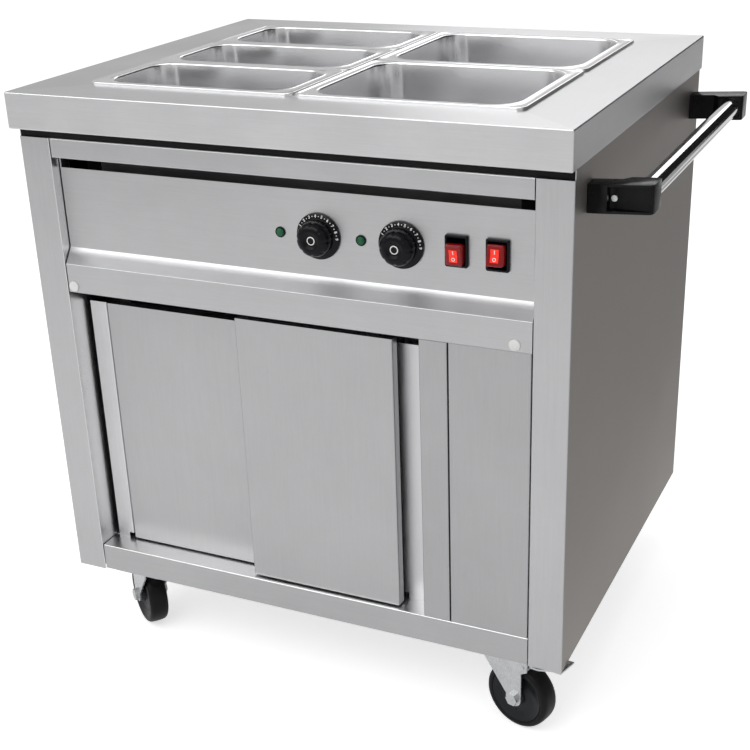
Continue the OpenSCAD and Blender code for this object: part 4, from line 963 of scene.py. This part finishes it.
def build_bracket(end):
    """A handle bracket: a foot on the cabinet, an arm with a scooped face and a socket for the tube."""
    node = f"handle_bracket_{end}"
    low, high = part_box(node)
    tube_low, tube_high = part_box("handle_tube")
    tube_x = (tube_low.x + tube_high.x) / 2
    tube_r = (tube_high.x - tube_low.x) / 2
    mid_z = (tube_low.z + tube_high.z) / 2
    top_z = high.z - BRACKET_RISE
    outer = low.y if end == "front" else high.y
    way = 1 if end == "front" else -1
    arm = 30 * MM
    deep = high.y - low.y
    x0, x1 = low.x, high.x
    wide = tube_x - tube_r - 10 * MM

    def plan(points):
        flat = [(x, outer + way * y) for x, y in points]
        return flat if way > 0 else flat[::-1]

    def upright(points, z0, z1):
        bm = bmesh.new()
        prism(bm, plan(points), Matrix.Translation((0, 0, z0)), z1 - z0)
        for vert in bm.verts:
            vert.co.z += BRACKET_RISE * (vert.co.x - x0) / (x1 - x0)
        return bm

    base = upright([(x0, 2 * MM), (x0 + 5 * MM, 0.4 * MM), (x0 + 26 * MM, 0), (x1 - 7 * MM, 0)]
                   + [(x1 - 7 * MM + 7 * MM * math.sin(a), 7 * MM - 7 * MM * math.cos(a))
                      for a in (math.radians(v) for v in (30, 60, 90))]
                   + [(x1, deep - 3 * MM), (x1 - 3 * MM, deep), (wide + 5 * MM, deep),
                      (wide, arm + 4 * MM), (wide - 4 * MM, arm), (x0, arm)], low.z, top_z)
    s0, s1 = x0 + 26 * MM, x1 - 3.5 * MM
    scoop = upright([(s0, -2 * MM), (s1, -2 * MM), (s1, 2 * MM), (s0 + 8 * MM, 15 * MM), (s0, 15 * MM)],
                    low.z + 3.2 * MM, top_z - 3.2 * MM)
    socket = bmesh.new()
    start = outer + way * 12 * MM
    lathe(socket, [(0, 0), (tube_r, 0), (tube_r, 40 * MM), (0, 40 * MM)],
          Matrix.Translation((tube_x, start, mid_z)) @ Matrix.Rotation(math.radians(-90 * way), 4, "X"), 48)
    mesh = cut_piece(base, [scoop, socket], 0.9 * MM, 3)
    place_piece(node + "_moulding", mesh, ["bracket_plastic"], CABINET, [node])


def build_tube():
    low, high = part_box("handle_tube")
    r = (high.x - low.x) / 2
    centre = (low + high) / 2
    bm = bmesh.new()
    n = 12
    span = high.y - low.y
    outline = [(r - 1.5 * MM, 0), (r - 0.4 * MM, 0), (r, 0.4 * MM)]
    outline += [(r, span * k / n) for k in range(1, n)]
    outline += [(r, span - 0.4 * MM), (r - 0.4 * MM, span), (r - 1.5 * MM, span), (r - 1.5 * MM, 0)]
    place = Matrix.Translation((centre.x, low.y, centre.z)) @ Matrix.Rotation(math.radians(-90), 4, "X")
    lathe(bm, outline, place, 72)
    finished("handle_tube_chromed", bm, ["chrome"], CABINET, ["handle_tube"])


class TROLLEY_OT_handle(bpy.types.Operator):
    """Build the push handle: a chromed tube between two moulded brackets"""

    bl_idname = "trolley.handle"
    bl_label = "Push handle"

    def execute(self, context):
        build_tube()
        for end in ("front", "rear"):
            build_bracket(end)
        traced("handle_screws", ["zinc_plate"])
        return {"FINISHED"}


# ------------------------------------------------------------------ castors


def build_wheel(corner):
    """A wheel: a rubber tyre with a crowned tread on a ribbed plastic hub."""
    node = f"castor_wheel_{corner}"
    roll = joint(f"wheel_{corner}_roll")
    axle = Vector(roll["pos_m"])
    way = Vector(roll["axis"])
    place = axis_place(axle, (0, 0, 1), Vector((0, 0, 1)).cross(way) * -1)
    if place.to_3x3().col[2].dot(way) < 0:
        place = axis_place(axle, (0, 0, 1), Vector((0, 0, 1)).cross(way))
    r, half, hub = axle.z, 16 * MM, 19.2 * MM
    side = [(6.05 * MM, hub), (13 * MM, hub), (14 * MM, hub - 1 * MM), (14 * MM, half - 4 * MM),
            (17 * MM, half - 5.5 * MM), (24 * MM, half - 6.5 * MM), (31 * MM, half - 5.5 * MM),
            (33 * MM, half - 3.4 * MM), (36 * MM, half - 3 * MM), (38 * MM, half - 1 * MM),
            (39.4 * MM, half - 0.6 * MM), (40 * MM, half - 1.4 * MM), (40.6 * MM, half - 0.4 * MM),
            (43 * MM, half), (45.5 * MM, half - 0.5 * MM), (47.6 * MM, half - 1.8 * MM),
            (49.0 * MM, half - 4 * MM), (49.7 * MM, half - 7.4 * MM), (r, half - 12 * MM)]
    drawn_radius = 50 * MM
    grown = r / drawn_radius
    side = side[:3] + [(a * grown if a < r else a, b) for a, b in side[3:-1]] + side[-1:]
    outline = side + [(a, -b) for a, b in side[::-1]] + [side[0]]
    tyre = 11
    n = len(side)

    def index(k):
        return 0 if tyre <= k < 2 * n - 1 - tyre else 1

    bm = bmesh.new()
    lathe(bm, outline, place, 96, index=index)
    finished(node + "_tyre", bm, ["tyre_rubber", "hub_plastic"], node + "_body", [node],
             sharp=math.radians(38))


class TROLLEY_OT_castors(bpy.types.Operator):
    """Build the four castors with their forks, wheels, bolts and brake pedals"""

    bl_idname = "trolley.castors"
    bl_label = "Castors"

    def execute(self, context):
        for corner in CORNERS:
            build_wheel(corner)
            traced(f"castor_fork_{corner}", ["zinc_plate"], body=f"castor_fork_{corner}_body")
        for node in ("castor_plates", "castor_bolts"):
            traced(node, ["zinc_plate"])
        for node in ("brake_pedal_left", "brake_pedal_right"):
            traced(node, ["zinc_plate"], body=node + "_body")
        return {"FINISHED"}


# ------------------------------------------------------------------ inside


class TROLLEY_OT_inside(bpy.types.Operator):
    """Dress the pieces inside the cupboard and the service compartment"""

    bl_idname = "trolley.inside"
    bl_label = "Inside"

    def execute(self, context):
        finishes = {
            "cupboard_element": "tube_steel", "thermostat_bodies": "inner_steel",
            "thermostat_bulbs": "copper", "terminal_block": "white_plastic",
            "wiring_loom": "cable_black", "power_inlet": "black_plastic",
            "drain_pipe": "tube_steel", "drain_lever": "red_plastic",
        }
        for node, name in finishes.items():
            dress(node, name)
        return {"FINISHED"}


# ------------------------------------------------------------------ studio


def stage_material(name, colour, seen, mirrored):
    """A surface that takes light and shadow, to which light is added for the camera and for mirrors."""
    made, tree, shader = new_material(name, colour, 0.9)
    shader.inputs["Specular IOR Level"].default_value = 0.0
    rays = tree.nodes.new("ShaderNodeLightPath")
    mirror = math_node(tree, "MAXIMUM", rays.outputs["Is Glossy Ray"],
                       rays.outputs["Is Transmission Ray"])
    added = math_node(tree, "ADD", math_node(tree, "MULTIPLY", rays.outputs["Is Camera Ray"], seen),
                      math_node(tree, "MULTIPLY", mirror, mirrored))
    shader.inputs["Emission Color"].default_value = (1, 1, 1, 1)
    tree.links.new(added, shader.inputs["Emission Strength"])
    return made


def build_floor():
    studio = bpy.context.scene.trolley_studio
    bm = bmesh.new()
    bmesh.ops.create_grid(bm, x_segments=8, y_segments=8, size=14)
    mesh = bpy.data.meshes.new("studio_floor")
    bm.to_mesh(mesh)
    bm.free()
    floor = bpy.data.objects.new("studio_floor", mesh)
    bpy.context.scene.collection.objects.link(floor)
    mesh.materials.append(stage_material("studio_floor", (studio.floor,) * 3, studio.floor_seen,
                                         studio.floor_mirrored))


def build_card(name, corners, shade_of_grey):
    """A flat card that only mirrors see, to draw a tone into the steel."""
    mesh = bpy.data.meshes.new(name)
    mesh.from_pydata(corners, [], [list(range(len(corners)))])
    card = bpy.data.objects.new(name, mesh)
    bpy.context.scene.collection.objects.link(card)
    made, tree, shader = new_material(name, (shade_of_grey,) * 3, 1.0)
    shader.inputs["Specular IOR Level"].default_value = 0.0
    mesh.materials.append(made)
    card.visible_camera = False
    card.visible_diffuse = False
    card.visible_shadow = False
    card.visible_transmission = False


def build_world():
    """White to the camera, and a plain grey sky to everything else."""
    world = bpy.data.worlds.new("studio")
    bpy.context.scene.world = world
    world.use_nodes = True
    tree = world.node_tree
    back = tree.nodes["Background"]
    rays = tree.nodes.new("ShaderNodeLightPath")
    sky = bpy.context.scene.trolley_studio.sky
    lit = spread(tree, rays.outputs["Is Camera Ray"], sky, 1.0)
    back.inputs["Color"].default_value = (1, 1, 1, 1)
    tree.links.new(lit, back.inputs["Strength"])


def area_lamp(name, place, target, size, power):
    lamp = bpy.data.lights.new(name, "AREA")
    lamp.shape = "RECTANGLE"
    lamp.size, lamp.size_y = size
    lamp.energy = power
    holder = bpy.data.objects.new(name, lamp)
    holder.location = place
    holder.rotation_mode = "QUATERNION"
    holder.rotation_quaternion = (Vector(target) - Vector(place)).to_track_quat("-Z", "Y")
    bpy.context.scene.collection.objects.link(holder)


def build_camera():
    """The photograph's camera: its place, its turn and its lens."""
    camera = bpy.data.cameras.new("camera")
    holder = bpy.data.objects.new("camera", camera)
    bpy.context.scene.collection.objects.link(holder)
    place = Vector((0.8273, -1.8531, 1.2618))
    right = Vector((0.90816587, 0.41735397, -0.03241018))
    down = Vector((0.14655195, -0.38951027, -0.90928778))
    ahead = Vector((-0.39211896, 0.82103435, -0.41490397))
    turn = Matrix((right, -down, -ahead)).transposed()
    holder.matrix_world = Matrix.Translation(place) @ turn.to_4x4()
    photo = 750
    focal, middle = 1347.5, Vector((376.9, 413.5))
    camera.sensor_width = 36
    camera.lens = focal / photo * camera.sensor_width
    camera.shift_x = (photo / 2 - middle.x) / photo
    camera.shift_y = (middle.y - photo / 2) / photo
    camera.clip_start = 0.05
    camera.clip_end = 60
    bpy.context.scene.camera = holder


class TROLLEY_OT_studio(bpy.types.Operator):
    """Build the pale floor, the sky, the lamps and the camera"""

    bl_idname = "trolley.studio"
    bl_label = "Studio"

    def execute(self, context):
        context.scene.view_settings.view_transform = "Standard"
        build_floor()
        build_world()
        area_lamp("key_lamp", (-1.2, -2.6, 2.7), (0, 0, 0.5), (4.5, 2.0), 34)
        area_lamp("back_lamp", (-0.4, 4.0, 2.7), (0.2, 0, 0.9), (2.6, 1.6), 15)
        area_lamp("slope_lamp", (-0.7, -1.78, 2.42), (0, -0.32, 0.66), (2.8, 1.1), 11)
        area_lamp("pan_lamp", (0, 0.1, 2.7), (0, 0.1, 0.9), (1.5, 1.5), 9)
        build_card("right_card", [(1.7, -0.6, 0.95), (1.7, 4.2, 0.95), (1.7, 4.2, 4.2), (1.7, -0.6, 4.2)],
                   0.02)
        build_card("right_low_card", [(1.72, -0.6, 0.003), (1.72, 4.2, 0.003), (1.72, 4.2, 0.95),
                                      (1.72, -0.6, 0.95)], 0.5)
        build_card("back_right_card", [(0.75, 4.25, 0.4), (1.75, 4.25, 0.4), (1.75, 4.25, 4.4),
                                       (0.75, 4.25, 4.4)], 0.02)
        build_card("right_floor_card", [(0.62, -0.25, 0.002), (1.7, -0.25, 0.002), (1.7, 3.2, 0.002),
                                        (0.62, 3.2, 0.002)], 0.5)
        build_camera()
        return {"FINISHED"}


# ------------------------------------------------------------------ panel and running


OPERATORS = [TROLLEY_OT_worktop, TROLLEY_OT_pans, TROLLEY_OT_cabinet, TROLLEY_OT_controls,
             TROLLEY_OT_handle, TROLLEY_OT_castors, TROLLEY_OT_inside, TROLLEY_OT_studio]


class TROLLEY_PT_panel(bpy.types.Panel):
    """Lists the trolley's pieces"""

    bl_idname = "TROLLEY_PT_panel"
    bl_label = "Hostess trolley"
    bl_space_type = "VIEW_3D"
    bl_region_type = "UI"
    bl_category = "Trolley"

    def draw(self, context):
        for group in (context.scene.trolley_finish, context.scene.trolley_sizes,
                      context.scene.trolley_studio):
            for key in group.__annotations__:
                self.layout.prop(group, key)
        for operator in OPERATORS:
            self.layout.operator(operator.bl_idname)


GROUPS = {"trolley_finish": TrolleyFinish, "trolley_sizes": TrolleySizes, "trolley_studio": TrolleyStudio}


def register():
    for cls in [*GROUPS.values(), *OPERATORS, TROLLEY_PT_panel]:
        bpy.utils.register_class(cls)
    for key, cls in GROUPS.items():
        setattr(bpy.types.Scene, key, PointerProperty(type=cls))


def unregister():
    for key in GROUPS:
        delattr(bpy.types.Scene, key)
    for cls in [*GROUPS.values(), *OPERATORS, TROLLEY_PT_panel]:
        bpy.utils.unregister_class(cls)


def main():
    register()
    for operator in OPERATORS:
        group, name = operator.bl_idname.split(".")
        getattr(getattr(bpy.ops, group), name)()


if __name__ == "__main__":
    main()
